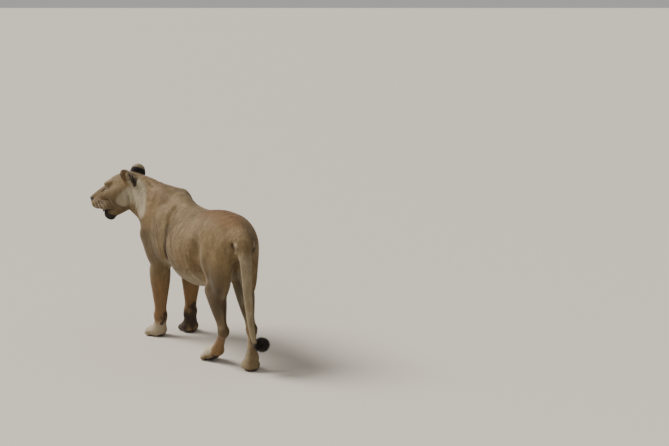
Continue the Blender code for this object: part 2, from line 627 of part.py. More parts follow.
def build_lioness():
    form = flesh_mesh()
    whole = bpy.data.objects.new("whole_flesh", form)
    cutters.objects.link(whole)
    whole.hide_render = True
    whole.display_type = "WIRE"
    for name, side in (("eye_left", LEFT), ("eye_right", RIGHT)):
        boolean(whole, cutter(f"{name}_socket", eye_form(side, GAP)))
        boolean(whole, lid_opening(side))
        finish_piece(mesh_object(name, eye_form(side), parts), SURFACES["eye"])
    for name, shape, surface in (
        ("nose_pad", nose_form, "skin"),
        ("tongue", tongue_form, "tongue"),
        ("tail_tuft", tuft_form, "black"),
    ):
        boolean(whole, cutter(f"{name}_room", shape(GAP)))
        finish_piece(mesh_object(name, shape(), parts), SURFACES[surface])
    boolean(whole, mouth_wedge())
    boolean(whole, floor_block())
    add_cuts()
    cuts = whole.modifiers.new("cuts", "BOOLEAN")
    cuts.operation = "DIFFERENCE"
    cuts.operand_type = "COLLECTION"
    cuts.collection = sheets
    cuts.solver = "EXACT"
    part_flesh(applied(whole, "parted_flesh"))
    head_form = swollen(form, "head_form", GAP)
    add_ear("ear_left", LEFT, head_form, SURFACES["coat"])
    add_ear("ear_right", RIGHT, head_form, SURFACES["coat"])
    for made in bpy.data.objects:
        made.location -= MIDDLE


build_lioness()
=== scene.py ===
# %% [markdown]
# # A standing lioness
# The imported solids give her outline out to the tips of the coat. Here they are dressed: one skin for
# all the flesh, a coat of small tufts over it, and eyes, teeth, tongue, claws and whiskers of their own.
# She faces -Y, her left side is +X, and the floor is z = 0.

# %% Load the solids
import json
import math
import time

import bpy
import numpy as np
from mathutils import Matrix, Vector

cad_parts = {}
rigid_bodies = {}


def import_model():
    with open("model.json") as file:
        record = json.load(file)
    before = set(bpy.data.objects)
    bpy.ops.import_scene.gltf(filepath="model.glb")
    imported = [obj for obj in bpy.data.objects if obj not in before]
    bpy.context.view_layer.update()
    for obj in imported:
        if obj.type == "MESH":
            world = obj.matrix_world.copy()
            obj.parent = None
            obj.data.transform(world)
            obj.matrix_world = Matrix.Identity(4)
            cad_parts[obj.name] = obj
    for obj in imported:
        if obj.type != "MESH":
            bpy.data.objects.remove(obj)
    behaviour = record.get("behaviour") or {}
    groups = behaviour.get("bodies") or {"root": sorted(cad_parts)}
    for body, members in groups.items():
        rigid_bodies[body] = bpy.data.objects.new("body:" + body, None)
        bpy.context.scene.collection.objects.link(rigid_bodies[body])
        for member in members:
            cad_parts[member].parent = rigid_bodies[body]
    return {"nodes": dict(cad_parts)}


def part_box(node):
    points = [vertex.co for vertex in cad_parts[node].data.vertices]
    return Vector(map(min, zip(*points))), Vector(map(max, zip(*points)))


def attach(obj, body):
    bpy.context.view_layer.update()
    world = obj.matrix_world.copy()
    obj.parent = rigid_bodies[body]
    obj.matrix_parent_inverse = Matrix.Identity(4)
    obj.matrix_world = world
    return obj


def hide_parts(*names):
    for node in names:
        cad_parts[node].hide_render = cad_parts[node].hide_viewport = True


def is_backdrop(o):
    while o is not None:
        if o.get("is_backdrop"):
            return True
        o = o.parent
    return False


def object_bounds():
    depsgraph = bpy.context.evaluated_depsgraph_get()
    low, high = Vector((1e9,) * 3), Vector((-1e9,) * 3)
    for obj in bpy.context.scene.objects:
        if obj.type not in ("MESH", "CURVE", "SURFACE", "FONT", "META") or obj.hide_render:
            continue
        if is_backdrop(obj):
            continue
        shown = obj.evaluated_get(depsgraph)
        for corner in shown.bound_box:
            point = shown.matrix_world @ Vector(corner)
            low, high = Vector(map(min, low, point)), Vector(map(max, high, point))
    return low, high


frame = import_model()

import openvdb
from mathutils import Vector

STARTED = time.time()
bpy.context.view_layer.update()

# %% [markdown]
# ## Where things are
# Her joints are named in metres from the middle of her feet. The row's origin lies under the middle
# of her outline instead, so every piece is moved by the same step when its mesh is made. The head has
# directions of its own, because it is turned to her left and tipped down, and so has the open jaw.

# %% Directions
MIDDLE = np.array((0.097, -0.005, 0.0))
BODY = "root"
LEFT, RIGHT = 1, -1
SIDES = {LEFT: "left", RIGHT: "right"}
X, Y, Z = np.eye(3)
TINY = 1e-9
HEAD_AT = np.array((0.208, -0.595, 0.871))
HEAD_YAW, HEAD_PITCH, JAW_OPEN = math.radians(46), math.radians(15), math.radians(17)


def vec(*values):
    return np.array(values, float)


def unit(v):
    v = np.asarray(v, float)
    return v / np.linalg.norm(v, axis=-1, keepdims=True)


def mix(a, b, t):
    return np.asarray(a, float) * (1 - t) + np.asarray(b, float) * t


def level_axes(yaw):
    """The way ahead and the way to the left, both level, for something turned by yaw to her left."""
    return vec(math.sin(yaw), -math.cos(yaw), 0), vec(math.cos(yaw), math.sin(yaw), 0)


LEVEL, ASIDE = level_axes(HEAD_YAW)
AHEAD = LEVEL * math.cos(HEAD_PITCH) - Z * math.sin(HEAD_PITCH)
ABOVE = LEVEL * math.sin(HEAD_PITCH) + Z * math.cos(HEAD_PITCH)
JAW_AHEAD = AHEAD * math.cos(JAW_OPEN) - ABOVE * math.sin(JAW_OPEN)
JAW_ABOVE = AHEAD * math.sin(JAW_OPEN) + ABOVE * math.cos(JAW_OPEN)


def on_head(forward, left, up):
    return HEAD_AT + AHEAD * forward + ASIDE * left + ABOVE * up


def on_jaw(forward, left, up):
    return on_head(0.015, 0, -0.045) + JAW_AHEAD * forward + ASIDE * left + JAW_ABOVE * up


def head_places(points):
    """Points as (forward, left, up) of the head."""
    return (points - HEAD_AT) @ np.array((AHEAD, ASIDE, ABOVE)).T


def mirrored(place, side, rows):
    """Rows of (forward, left, up, ...) placed on her left or right, keeping what follows the place."""
    return [(*place(f, l * side, u), *rest) for f, l, u, *rest in rows]


print("nose tip at", on_head(0.256, 0, -0.017).round(3), "from the middle of her feet")

# %% Joints of the legs
FORE = {
    LEFT: dict(blade=(0.080, -0.300, 0.840), shoulder=(0.132, -0.425, 0.610), elbow=(0.112, -0.325, 0.455),
               wrist=(0.096, -0.375, 0.130), ball=(0.100, -0.400, 0.0), yaw=30),
    RIGHT: dict(blade=(-0.045, -0.300, 0.826), shoulder=(-0.082, -0.425, 0.610),
                elbow=(-0.088, -0.335, 0.455), wrist=(-0.098, -0.390, 0.135),
                ball=(-0.100, -0.410, 0.0), yaw=-2),
}
HIND = {
    LEFT: dict(hip=(0.060, 0.430, 0.690), knee=(0.060, 0.368, 0.420), hock=(0.054, 0.482, 0.205),
               toe_joint=(0.036, 0.352, 0.073), ball=(0.040, 0.310, -0.008), yaw=14, heel_up=17),
    RIGHT: dict(hip=(-0.095, 0.420, 0.690), knee=(-0.122, 0.335, 0.420), hock=(-0.052, 0.615, 0.235),
                toe_joint=(-0.058, 0.603, 0.075), ball=(-0.058, 0.585, 0.0), yaw=-20, heel_up=0),
}
HIND_PAW = 0.93  # size of a hind paw against a forepaw
PAWS = {"fore_left": (FORE[LEFT], 1.0), "fore_right": (FORE[RIGHT], 1.0),
        "hind_left": (HIND[LEFT], HIND_PAW), "hind_right": (HIND[RIGHT], HIND_PAW)}
for limb, _ in PAWS.values():
    limb.update({key: np.array(value) for key, value in limb.items() if isinstance(value, tuple)})
print("joints of", len(PAWS), "legs")

# %% [markdown]
# ## A kit for soft forms
# Flesh has no hard edges: each muscle flows into the next. It could be sculpted by hand, or joined
# from meshes and remeshed. A distance field is tidier: each muscle is an egg or a tapering length,
# a smooth minimum melts it into what is there, and one surface is drawn where the distance is zero.

# %% Forms
FAR = 0.2  # the field's value away from all forms
SLACK = 0.005  # left free round the box of a form


def curve_through(stations, steps):
    """Points on a Catmull-Rom curve through the stations, whatever numbers each holds."""
    ends = np.vstack([2 * stations[0] - stations[1], stations, 2 * stations[-1] - stations[-2]])
    found = []
    for a, b, c, d in zip(ends, ends[1:], ends[2:], ends[3:]):
        for t in np.arange(steps) / steps:
            found.append((2 * b + (c - a) * t + (2 * a - 5 * b + 4 * c - d) * t**2
                          + (3 * b - a - 3 * c + d) * t**3) / 2)
    return np.array([*found, stations[-1]])


def axes_along(a, b, side):
    """The side, third and long directions of a form from a to b, and its length."""
    size = np.linalg.norm(b - a)
    along = (b - a) / size
    side = unit(side - along * side.dot(along))
    return (side, np.cross(along, side), along), size


def places_on(axes, origin, p):
    return [sum(p[i] * axis[i] for i in range(3)) - origin.dot(axis) for axis in axes]


def outside_by(offsets, halves):
    """About how far a place lies outside an ellipsoid with these half sizes."""
    near = np.sqrt(sum((o / h) ** 2 for o, h in zip(offsets, halves)))
    slope = np.sqrt(sum((o / h**2) ** 2 for o, h in zip(offsets, halves))) + TINY
    return near * (near - 1) / slope


def egg(a, b, width, depth, side):
    """Distance to an ellipsoid from a to b, and the box round it."""
    centre = (a + b) / 2
    axes, size = axes_along(a, b, side)

    def distance(p):
        return outside_by(places_on(axes, centre, p), (width, depth, size / 2))

    reach = max(size / 2, width, depth)
    return distance, centre - reach, centre + reach


def length(start, end, side):
    """Distance to a round-ended length between two stations (x, y, z, half width, half depth)."""
    a, b = start[:3], end[:3]
    axes, size = axes_along(a, b, side)

    def distance(p):
        u, v, h = places_on(axes, a, p)
        t = np.clip(h / size, 0, 1)
        wide, deep = (start[i] + (end[i] - start[i]) * t for i in (3, 4))
        return outside_by((u, v, h - t * size), (wide, deep, np.minimum(wide, deep)))

    reach = max(*start[3:], *end[3:])
    return distance, np.minimum(a, b) - reach, np.maximum(a, b) + reach


print("forms: egg and length")


# %% Clay
class Clay:
    """Forms added or cut one after another, each melting into the rest over its own blend."""

    def __init__(self):
        self.forms = []

    def add(self, pieces, blend, cut):
        low = np.min([p[1] for p in pieces], 0) - blend
        high = np.max([p[2] for p in pieces], 0) + blend
        self.forms.append((pieces, low, high, blend, cut))

    def muscle(self, a, b, width, depth, side=X, blend=0.03, cut=False):
        self.add([egg(vec(*a), vec(*b), width, depth, side)], blend, cut)

    def tube(self, stations, side=X, blend=0.03, cut=False, steps=4):
        line = curve_through(np.array(stations, float), steps)
        self.add([length(a, b, side) for a, b in zip(line, line[1:])], blend, cut)

    def melt(self, field, distance, blend, cut):
        """The smooth minimum of the two, or the smooth cut."""
        sign = -1 if cut else 1
        gap = np.maximum(blend - np.abs(sign * field - distance), 0) / blend
        return sign * (np.minimum(sign * field, distance) - gap * gap * blend / 4)

    def on_grid(self, axes):
        field = np.full([len(a) for a in axes], FAR, np.float32)
        for pieces, low, high, blend, cut in self.forms:
            block = self.block_of(axes, low, high)
            part = np.full(field[block].shape, FAR, np.float32)
            for distance, piece_low, piece_high in pieces:
                pad = blend + SLACK
                inner = self.block_of([a[s] for a, s in zip(axes, block)], piece_low - pad, piece_high + pad)
                x, y, z = (a[s][t].astype(np.float32) for a, s, t in zip(axes, block, inner))
                found = distance((x[:, None, None], y[None, :, None], z[None, None, :]))
                part[inner] = np.minimum(part[inner], found)
            field[block] = self.melt(field[block], part, blend, cut)
        return field

    def block_of(self, axes, low, high):
        firsts = [max(np.searchsorted(axis, start) - 1, 0) for axis, start in zip(axes, low)]
        lasts = [min(np.searchsorted(axis, end) + 1, len(axis)) for axis, end in zip(axes, high)]
        return tuple(slice(a, b) for a, b in zip(firsts, lasts))

    def at(self, points):
        field = np.full(len(points), FAR)
        for pieces, low, high, blend, cut in self.forms:
            inside = np.nonzero(((points > low) & (points < high)).all(1))[0]
            if not len(inside):
                continue
            local = points[inside]
            part = np.full(len(local), FAR)
            for distance, piece_low, piece_high in pieces:
                pad = blend + SLACK
                close = np.nonzero(((local > piece_low - pad) & (local < piece_high + pad)).all(1))[0]
                if len(close):
                    part[close] = np.minimum(part[close], distance(local[close].T))
            field[inside] = self.melt(field[inside], part, blend, cut)
        return field


clay = Clay()
print("clay ready")

# %% [markdown]
# ## Trunk and neck
# A lioness carries her belly round behind a deep, narrow chest, and her shoulder blades stand above
# the line of her back. One tapering length makes the barrel, another the neck, and a muscle each
# the withers and the croup. Smaller ones add what shows through a well-fed coat: the hip bones and
# the soft pouch of the belly.

# %% Trunk and neck
TRUNK = [
    (0.050, -0.490, 0.640, 0.075, 0.090), (0.044, -0.435, 0.640, 0.122, 0.160),
    (0.036, -0.345, 0.648, 0.133, 0.205), (0.022, -0.220, 0.638, 0.130, 0.213),
    (0.010, -0.060, 0.612, 0.159, 0.208), (0.004, 0.090, 0.600, 0.202, 0.212),
    (-0.008, 0.220, 0.614, 0.190, 0.200), (-0.018, 0.340, 0.660, 0.155, 0.168),
    (-0.026, 0.450, 0.680, 0.126, 0.120), (-0.030, 0.540, 0.668, 0.078, 0.082),
]
NECK = [
    (0.050, -0.360, 0.735, 0.105, 0.155), (0.092, -0.450, 0.783, 0.099, 0.134),
    (0.148, -0.532, 0.829, 0.087, 0.121), (0.203, -0.598, 0.855, 0.080, 0.104),
]
NECK_SIDE = unit(vec(0.75, 0.66, 0))
clay.tube(TRUNK, blend=0.04)
clay.muscle((0.050, -0.420, 0.815), (0.012, -0.140, 0.815), 0.055, 0.055, blend=0.06)
clay.muscle((-0.010, 0.160, 0.772), (-0.022, 0.480, 0.748), 0.078, 0.052, blend=0.07)
clay.tube(NECK, side=NECK_SIDE, blend=0.06)
for side in SIDES:
    hip_bone = vec(-0.018 + 0.080 * side, 0.315, 0.765)
    clay.muscle(hip_bone - Y * 0.035, hip_bone + Y * 0.045 - Z * 0.02, 0.022, 0.020, blend=0.05)
clay.muscle((-0.002, 0.02, 0.432), (-0.010, 0.27, 0.462), 0.060, 0.030, blend=0.06)
print("trunk and neck:", len(clay.forms), "forms")

# %% [markdown]
# ## Legs and tail
# Each leg is a length that narrows to the wrist or hock, with the muscles that give it its outline:
# the blade and triceps above the elbow, the buttock, thigh and hamstrings above the knee, and the
# tendon that stands off the back of the shin. The tail hangs in one long curve and turns up at its end.

# %% Forelegs
def limb_muscles(rows):
    """Muscles from rows of (from, shift, to, shift, half width, half depth, blend)."""
    for a, shift_a, b, shift_b, width, depth, blend in rows:
        clay.muscle(a + vec(*shift_a), b + vec(*shift_b), width, depth, blend=blend)


def limb_tube(rows, **options):
    clay.tube([(*at, width, depth) for at, width, depth in rows], **options)


def add_foreleg(side):
    limb = FORE[side]
    blade, shoulder, elbow, wrist = (limb[k] for k in ("blade", "shoulder", "elbow", "wrist"))
    limb_muscles([
        (blade, (-0.005 * side, 0, 0.035), shoulder, (0, -0.010, -0.020), 0.052, 0.115, 0.05),
        (blade, (0.034 * side, 0.100, -0.050), elbow, (0.008 * side, 0.056, 0.010), 0.057, 0.112, 0.03),
        (blade, (0.020 * side, -0.03, -0.03), shoulder, (0.022 * side, 0.0, 0.03), 0.022, 0.032, 0.03),
    ])
    limb_tube([
        (shoulder, 0.058, 0.085), (mix(shoulder, elbow, 0.55), 0.060, 0.088), (elbow, 0.057, 0.077),
        (mix(elbow, wrist, 0.16), 0.061, 0.079), (mix(elbow, wrist, 0.36), 0.057, 0.073),
        (mix(elbow, wrist, 0.62), 0.046, 0.055), (mix(elbow, wrist, 0.84), 0.037, 0.042),
        (wrist, 0.039, 0.040),
    ])
    upper, middle, lower = (mix(elbow, wrist, t) for t in (0.02, 0.50, 0.05))
    limb_muscles([
        (elbow, (0, 0.040, 0.040), elbow, (0, 0.050, -0.035), 0.028, 0.032, 0.03),
        (upper, (0, -0.030, 0), middle, (0, -0.012, 0), 0.036, 0.030, 0.03),
        (lower, (-0.02 * side, 0.02, 0), mix(elbow, wrist, 0.6), (0, 0.02, 0), 0.022, 0.02, 0.02),
        (wrist, (0, 0.030, 0.030), wrist, (0, 0.030, -0.020), 0.018, 0.014, 0.02),
        (wrist, (-0.030 * side, 0.0, 0.0), wrist, (-0.031 * side, -0.012, -0.036), 0.011, 0.011, 0.012),
    ])
    add_paw(limb, wrist, 1.0)


# %% Hind legs
def add_hind_leg(side):
    limb = HIND[side]
    hip, knee, hock, toe_joint = (limb[k] for k in ("hip", "knee", "hock", "toe_joint"))
    limb_muscles([
        (hip, (-0.010 * side, -0.040, 0.100), mix(hip, knee, 0.80), (0, 0.040, 0), 0.074, 0.125, 0.05),
        (hip, (0.005 * side, -0.090, 0.030), knee, (0, -0.020, -0.015), 0.056, 0.075, 0.045),
        (hip, (-0.012 * side, 0.085, 0.020), mix(knee, hock, 0.35), (0, 0.045, 0.020), 0.050, 0.062, 0.05),
        (mix(hip, knee, 0.55), (0, 0.055, 0), mix(knee, hock, 0.12), (0, 0.055, 0), 0.030, 0.050, 0.04),
        (hip, (0, -0.130, 0.030), knee, (-0.010 * side, -0.075, 0.050), 0.030, 0.060, 0.06),
    ])
    limb_tube([
        (knee, 0.052, 0.070), (mix(knee, hock, 0.25) + vec(0, 0.014, -0.002), 0.050, 0.066),
        (mix(knee, hock, 0.50) + vec(0, 0.008, -0.002), 0.041, 0.052), (mix(knee, hock, 0.76), 0.030, 0.038),
        (hock + vec(0, -0.006, 0.004), 0.028, 0.034),
    ])
    limb_muscles([
        (mix(knee, hock, 0.55), (0, 0.045, 0.028), hock, (0, 0.022, 0.016), 0.012, 0.016, 0.02),
        (hock, (0, 0.014, 0.028), hock, (0, 0.007, -0.030), 0.021, 0.021, 0.02),
    ])
    middle = mix(hock, toe_joint, 0.5)
    limb_tube([(hock, 0.027, 0.032), (middle, 0.027, 0.027), (toe_joint, 0.034, 0.030)], blend=0.02)
    add_paw(limb, toe_joint, HIND_PAW)


# %% [markdown]
# ## Paws
# A cat walks on its toes: four of them round one broad pad, the two middle ones longest, each with
# its claw drawn back into a sheath. A lifted heel turns the whole foot about the tips of the toes.
# Each toe is a knuckle and a tip, and a groove is cut between neighbours so that they read as toes.

# %% Paws
TOES = ((-0.0385, 0.060, 0.040), (-0.0135, 0.078, 0.046), (0.0135, 0.078, 0.046), (0.0385, 0.060, 0.040))
PAW_REACH = 0.085  # from the ball to the tips of the toes


def paw_place(limb, size):
    """A function from (forward, left, up) of a paw to a point, and the paw's direction to its left."""
    lift = math.radians(limb.get("heel_up", 0))
    level, across = level_axes(math.radians(limb["yaw"]))
    ahead = level * math.cos(lift) - Z * math.sin(lift)
    above = level * math.sin(lift) + Z * math.cos(lift)
    tips = limb["ball"] + level * PAW_REACH * size

    def place(forward, left, up):
        return tips + (ahead * (forward - PAW_REACH) + across * left + above * up) * size

    return place, across


def add_paw(limb, ankle, size):
    place, across = paw_place(limb, size)

    def pad(start, end, width, depth, blend):
        clay.muscle(place(*start), place(*end), width * size, depth * size, across, blend)

    middle = mix(ankle, place(-0.012, 0, 0.055), 0.5)
    rows = [(ankle, 0.036, 0.036), (middle, 0.038, 0.035), (place(-0.005, 0, 0.048), 0.046, 0.038)]
    limb_tube([(at, width * size, depth * size) for at, width, depth in rows], side=across, blend=0.02)
    pad((-0.045, 0, 0.030), (0.065, 0, 0.034), 0.054, 0.036, 0.02)
    for left, reach, height in TOES:
        knuckle = (reach - 0.055, left * 0.86, height - 0.004), (reach + 0.004, left * 1.02, height * 0.62)
        pad(*knuckle, 0.0165, 0.0165, 0.010)
        pad((reach - 0.030, left, 0.022), (reach + 0.014, left * 1.04, 0.019), 0.0165, 0.019, 0.008)
    pad((-0.035, 0, 0.012), (0.028, 0, 0.010), 0.036, 0.014, 0.010)
    for left in (-0.026, 0.0, 0.026):
        groove = [(place(0.030, left * 0.95, 0.060), 0.0022, 0.008),
                  (place(0.062, left, 0.050), 0.0026, 0.010),
                  (place(0.092, left * 1.05, 0.024), 0.0030, 0.014)]
        limb_tube(groove, side=across, blend=0.006, cut=True, steps=3)


for side in SIDES:
    add_foreleg(side)
    add_hind_leg(side)
print("with legs and paws:", len(clay.forms), "forms")

# %% Tail
TAIL = [
    (-0.025, 0.470, 0.735, 0.0550, 0.0550), (-0.022, 0.555, 0.705, 0.0460, 0.0480),
    (-0.016, 0.618, 0.630, 0.0360, 0.0370), (-0.012, 0.648, 0.530, 0.0300, 0.0310),
    (-0.010, 0.668, 0.420, 0.0250, 0.0260), (-0.014, 0.684, 0.310, 0.0205, 0.0215),
    (-0.020, 0.700, 0.225, 0.0170, 0.0180), (-0.029, 0.708, 0.184, 0.0150, 0.0150),
    (-0.046, 0.710, 0.165, 0.0130, 0.0130), (-0.068, 0.710, 0.166, 0.0110, 0.0110),
]
TAIL_LINE = [vec(*station[:3]) for station in TAIL]
clay.tube(TAIL)
print("tail:", len(TAIL), "stations")


# %% Creases of the body
def met_from(point, axis, sign):
    """The point of the clay that is met first on the way in along an axis."""
    for _ in range(60):
        point[axis] -= sign * np.clip(clay.at(point[None])[0] * 0.8, 0, 0.02)
    return point


def on_side(side, y, z):
    return met_from(vec(0.40 * side, y, z), 0, side)


def on_back(x, z):
    return met_from(vec(x, 0.80, z), 1, 1)


ARM = ((-0.125, 0.790), (-0.100, 0.700), (-0.098, 0.610), (-0.130, 0.505), (-0.140, 0.462))
FLANK = ((0.330, 0.640), (0.320, 0.550), (0.325, 0.480))
CREASES = {}
for side in SIDES:
    CREASES["arm", side] = [on_side(side, *at) for at in ARM]
    CREASES["flank", side] = [on_side(side, *at) for at in FLANK]
    CREASES["tail", side] = [vec(-0.022 + 0.052 * side, 0.560, 0.690),
                             vec(-0.017 + 0.047 * side, 0.602, 0.630),
                             vec(-0.013 + 0.040 * side, 0.622, 0.560)]
for (name, side), line in CREASES.items():
    deep, blend = {"arm": (0.0140, 0.030), "flank": (0.0040, 0.080), "tail": (0.0030, 0.018)}[name]
    clay.tube([(*at, deep, deep) for at in line], blend=blend, cut=True)
SCARS = [[on_back(0.031, 0.700), on_back(0.029, 0.648)], [on_back(-0.087, 0.706), on_back(-0.087, 0.678)]]
print("creases at", [line[1].round(3).tolist() for line in CREASES.values()])

# %% [markdown]
# ## Head
# The head gets the most care. Braincase, forehead, cheeks and cheek bones come first, then the deep
# muzzle with its flat bridge, the two whisker pads and the chin. The mouth is a thin wedge cut between
# muzzle and jaw. Lips are added after it, so that they roll over its edges and meet in the corner.

# %% Skull, muzzle and jaw
def lump(place, side, start, end, width, depth, blend=0.03):
    """A muscle of the head or jaw, from rows of (forward, left, up) mirrored to her left or right."""
    start, end = (place(f, l * side, u) for f, l, u in (start, end))
    clay.muscle(start, end, width, depth, ASIDE, blend)


def midline(place, rows, blend=0.03, cut=False):
    """A tube of the head or jaw through rows of (forward, up, half width, half depth)."""
    clay.tube([(*place(f, 0, u), w, d) for f, u, w, d in rows], ASIDE, blend, cut)


lump(on_head, 1, (-0.105, 0, -0.004), (0.125, 0, 0.006), 0.080, 0.078)
lump(on_head, 1, (-0.060, 0, 0.040), (0.130, 0, 0.036), 0.056, 0.041)
for side in SIDES:
    lump(on_head, side, (-0.050, 0.056, -0.035), (0.100, 0.060, -0.050), 0.046, 0.064)
    lump(on_head, side, (0.015, 0.084, -0.010), (0.135, 0.054, -0.016), 0.020, 0.026)
    lump(on_head, side, (0.058, 0.052, 0.052), (0.122, 0.038, 0.048), 0.022, 0.015, 0.018)
midline(on_head, [(0.080, -0.004, 0.062, 0.055), (0.140, -0.020, 0.052, 0.050),
                  (0.185, -0.032, 0.046, 0.042), (0.218, -0.036, 0.040, 0.032)], 0.02)
midline(on_head, [(0.100, 0.028, 0.034, 0.018), (0.150, 0.019, 0.030, 0.017),
                  (0.200, 0.003, 0.028, 0.016), (0.236, -0.010, 0.026, 0.014)], 0.016)
for side in SIDES:
    lump(on_head, side, (0.135, 0.034, -0.048), (0.240, 0.025, -0.052), 0.030, 0.033, 0.010)
midline(on_jaw, [(0.000, -0.030, 0.070, 0.050), (0.060, -0.036, 0.060, 0.044),
                 (0.115, -0.041, 0.048, 0.034), (0.158, -0.038, 0.036, 0.032)], 0.015)
lump(on_jaw, 1, (0.125, 0, -0.045), (0.186, 0, -0.039), 0.032, 0.038, 0.012)
midline(on_head, [(-0.060, -0.055, 0.070, 0.065), (0.030, -0.075, 0.062, 0.045)])
midline(on_head, [(0.085, -0.080, 0.045, 0.003), (0.150, -0.090, 0.060, 0.005),
                  (0.200, -0.098, 0.065, 0.009), (0.270, -0.105, 0.065, 0.013)], 0.004, cut=True)
print("with skull, muzzle and jaw:", len(clay.forms), "forms")

# %% Nose, nostrils and lips
clay.muscle(on_head(0.237, -0.026, -0.014), on_head(0.237, 0.026, -0.014), 0.015, 0.012, AHEAD, 0.008)
lump(on_head, 1, (0.238, 0, -0.010), (0.243, 0, -0.044), 0.013, 0.012, 0.008)
for side in SIDES:
    nostril = [(0.262, 0.010, -0.021, 0.0040, 0.0050), (0.246, 0.017, -0.019, 0.0045, 0.0050),
               (0.238, 0.027, -0.017, 0.0022, 0.0030)]
    clay.tube(mirrored(on_head, side, nostril), ABOVE, 0.003, cut=True)
midline(on_head, [(0.258, -0.036, 0.0016, 0.004), (0.252, -0.052, 0.0030, 0.008),
                  (0.244, -0.082, 0.0034, 0.010)], 0.008, cut=True)
for side in SIDES:
    upper = [(0.100, 0.056, -0.098, 0.0060, 0.0050), (0.140, 0.052, -0.094, 0.0060, 0.0060),
             (0.190, 0.040, -0.080, 0.0060, 0.0060), (0.226, 0.016, -0.074, 0.0060, 0.0060)]
    clay.tube(mirrored(on_head, side, upper), ASIDE, 0.008, steps=5)
    lump(on_head, side, (0.062, 0.058, -0.073), (0.182, 0.044, -0.070), 0.012, 0.025, 0.012)
    lump(on_head, side, (0.064, 0.057, -0.092), (0.180, 0.044, -0.078), 0.011, 0.019, 0.012)
    corner = mirrored(on_head, side, [(0.100, 0.055, -0.086, 0.0060, 0.0050)])
    lower = [(0.125, 0.044, -0.006, 0.0060, 0.0060), (0.165, 0.028, -0.004, 0.0055, 0.0055),
             (0.184, 0.008, -0.006, 0.0055, 0.0055)]
    clay.tube(corner + mirrored(on_jaw, side, lower), ASIDE, 0.008, steps=5)
print("with nose and lips:", len(clay.forms), "forms")

# %% [markdown]
# ## Ears and eyelids
# The ears are short, broad cups, set low and wide: the left one opens to her side, the right one
# forward. Each eye sits deep: a low mound of muscle round it, then a slit for the lids, which she holds
# nearly closed. A groove runs from the inner corner down towards the nose, and a brow ridge shades it.

# %% Ears and eyelids
EYE_AT, EYE_RADIUS = (0.096, 0.0500, 0.026), 0.0180
EAR = {  # root forward and up, lean outward and upward, opening ahead and aside
    LEFT: (-0.050, 0.040, 0.60, 0.70, 0.28, 0.96),
    RIGHT: (-0.045, 0.046, 0.50, 0.84, 0.60, -0.70),
}


def ear_directions(side):
    """Where an ear is rooted, and its directions along its length, out of its opening, and across."""
    forward, up, outward, upward, ahead, aside = EAR[side]
    along = unit(ASIDE * side * outward + ABOVE * upward - AHEAD * 0.26)
    opening = AHEAD * ahead + ASIDE * aside
    opening = unit(opening - along * opening.dot(along))
    return on_head(forward, 0.070 * side, up), along, opening, np.cross(along, opening)


def eye_directions(side):
    """The middle of an eye, and its directions of gaze, along the slit, and up across it."""
    gaze = unit(AHEAD * 0.80 + ASIDE * side * 0.56 + ABOVE * 0.18)
    slit = ASIDE * side * 0.80 - AHEAD * 0.52 + ABOVE * 0.26
    slit = unit(slit - gaze * slit.dot(gaze))
    return on_head(EYE_AT[0], EYE_AT[1] * side, EYE_AT[2]), gaze, slit, np.cross(gaze, slit) * side


def by_eye(side, along, up, out):
    """A point so far along the slit, up across it and out along the gaze of an eye."""
    eye, gaze, slit, above = eye_directions(side)
    return eye + slit * along + above * up + gaze * out


for side in SIDES:
    root, along, opening, across = ear_directions(side)
    clay.muscle(root - along * 0.035, root + along * 0.078, 0.048, 0.028, across, 0.015)
    cup_from, cup_to = root + opening * 0.017 + along * 0.008, root + opening * 0.026 + along * 0.081
    clay.muscle(cup_from, cup_to, 0.040, 0.023, across, 0.005, cut=True)
    cup_from, cup_to = root + opening * 0.004 + along * 0.002, root + opening * 0.006 + along * 0.034
    clay.muscle(cup_from, cup_to, 0.007, 0.010, across, 0.008)
    up = eye_directions(side)[3]
    clay.muscle(by_eye(side, -0.021, 0, 0.003), by_eye(side, 0.021, 0, 0.003), 0.016, 0.020, up, 0.008)
    for lift, deep in ((0.0105, 0.0016), (-0.0110, 0.0012)):
        arc = [(*by_eye(side, s, lift * (1 - 900 * s * s), g), deep, deep)
               for s, g in ((-0.019, 0.014), (0.0, 0.020), (0.019, 0.013))]
        clay.tube(arc, up, 0.004, cut=True)
    tear = [(0.132, 0.038, 0.016, 0.0014, 0.002), (0.150, 0.036, 0.010, 0.0006, 0.001)]
    tear = [(*by_eye(side, -0.014, 0, 0.021), 0.0024, 0.003), *mirrored(on_head, side, tear)]
    clay.tube(tear, up, 0.006, cut=True)
    inner, outer = by_eye(side, -0.0170, 0, 0.021), by_eye(side, 0.0160, 0, 0.021)
    clay.muscle(inner, outer, 0.0015, 0.014, up, 0.002, cut=True)
print("whole animal:", len(clay.forms), "forms")

# %% [markdown]
# ## From clay to skin
# The field is drawn on a grid that is fine where the head and paws are and coarse elsewhere, then
# surfaced with quads. Zero in the field is the outside of the coat, so the bare skin is drawn a little
# further in: about 4 mm on the body and less on the face and feet, where the hair is shortest. A few
# steps along the slope put each point exactly on that level.

# %% Depth of the coat
FINE, COARSE, PAW = ((0.0023, 0.0062, 0.0032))
ABOVE_FLOOR = 0.0004  # of the lowest tips


def ramp(low, high, x):
    """0 below low and 1 above high, smooth between."""
    t = np.clip((x - low) / (high - low), 0, 1)
    return t * t * (3 - 2 * t)


def coat_depth(points):
    """How far the skin lies under the tips of the coat."""
    f, l, u = head_places(points).T
    face = ramp(0.02, 0.16, f) * ramp(0.30, 0.20, np.abs(l) + np.abs(u) * 0.5)
    ear = ramp(0.060, 0.085, u) * ramp(0.20, 0.12, np.abs(f + 0.05))
    paw = ramp(0.16, 0.06, points[:, 2])
    return 0.0045 - 0.0028 * np.maximum.reduce([face, ear, paw])


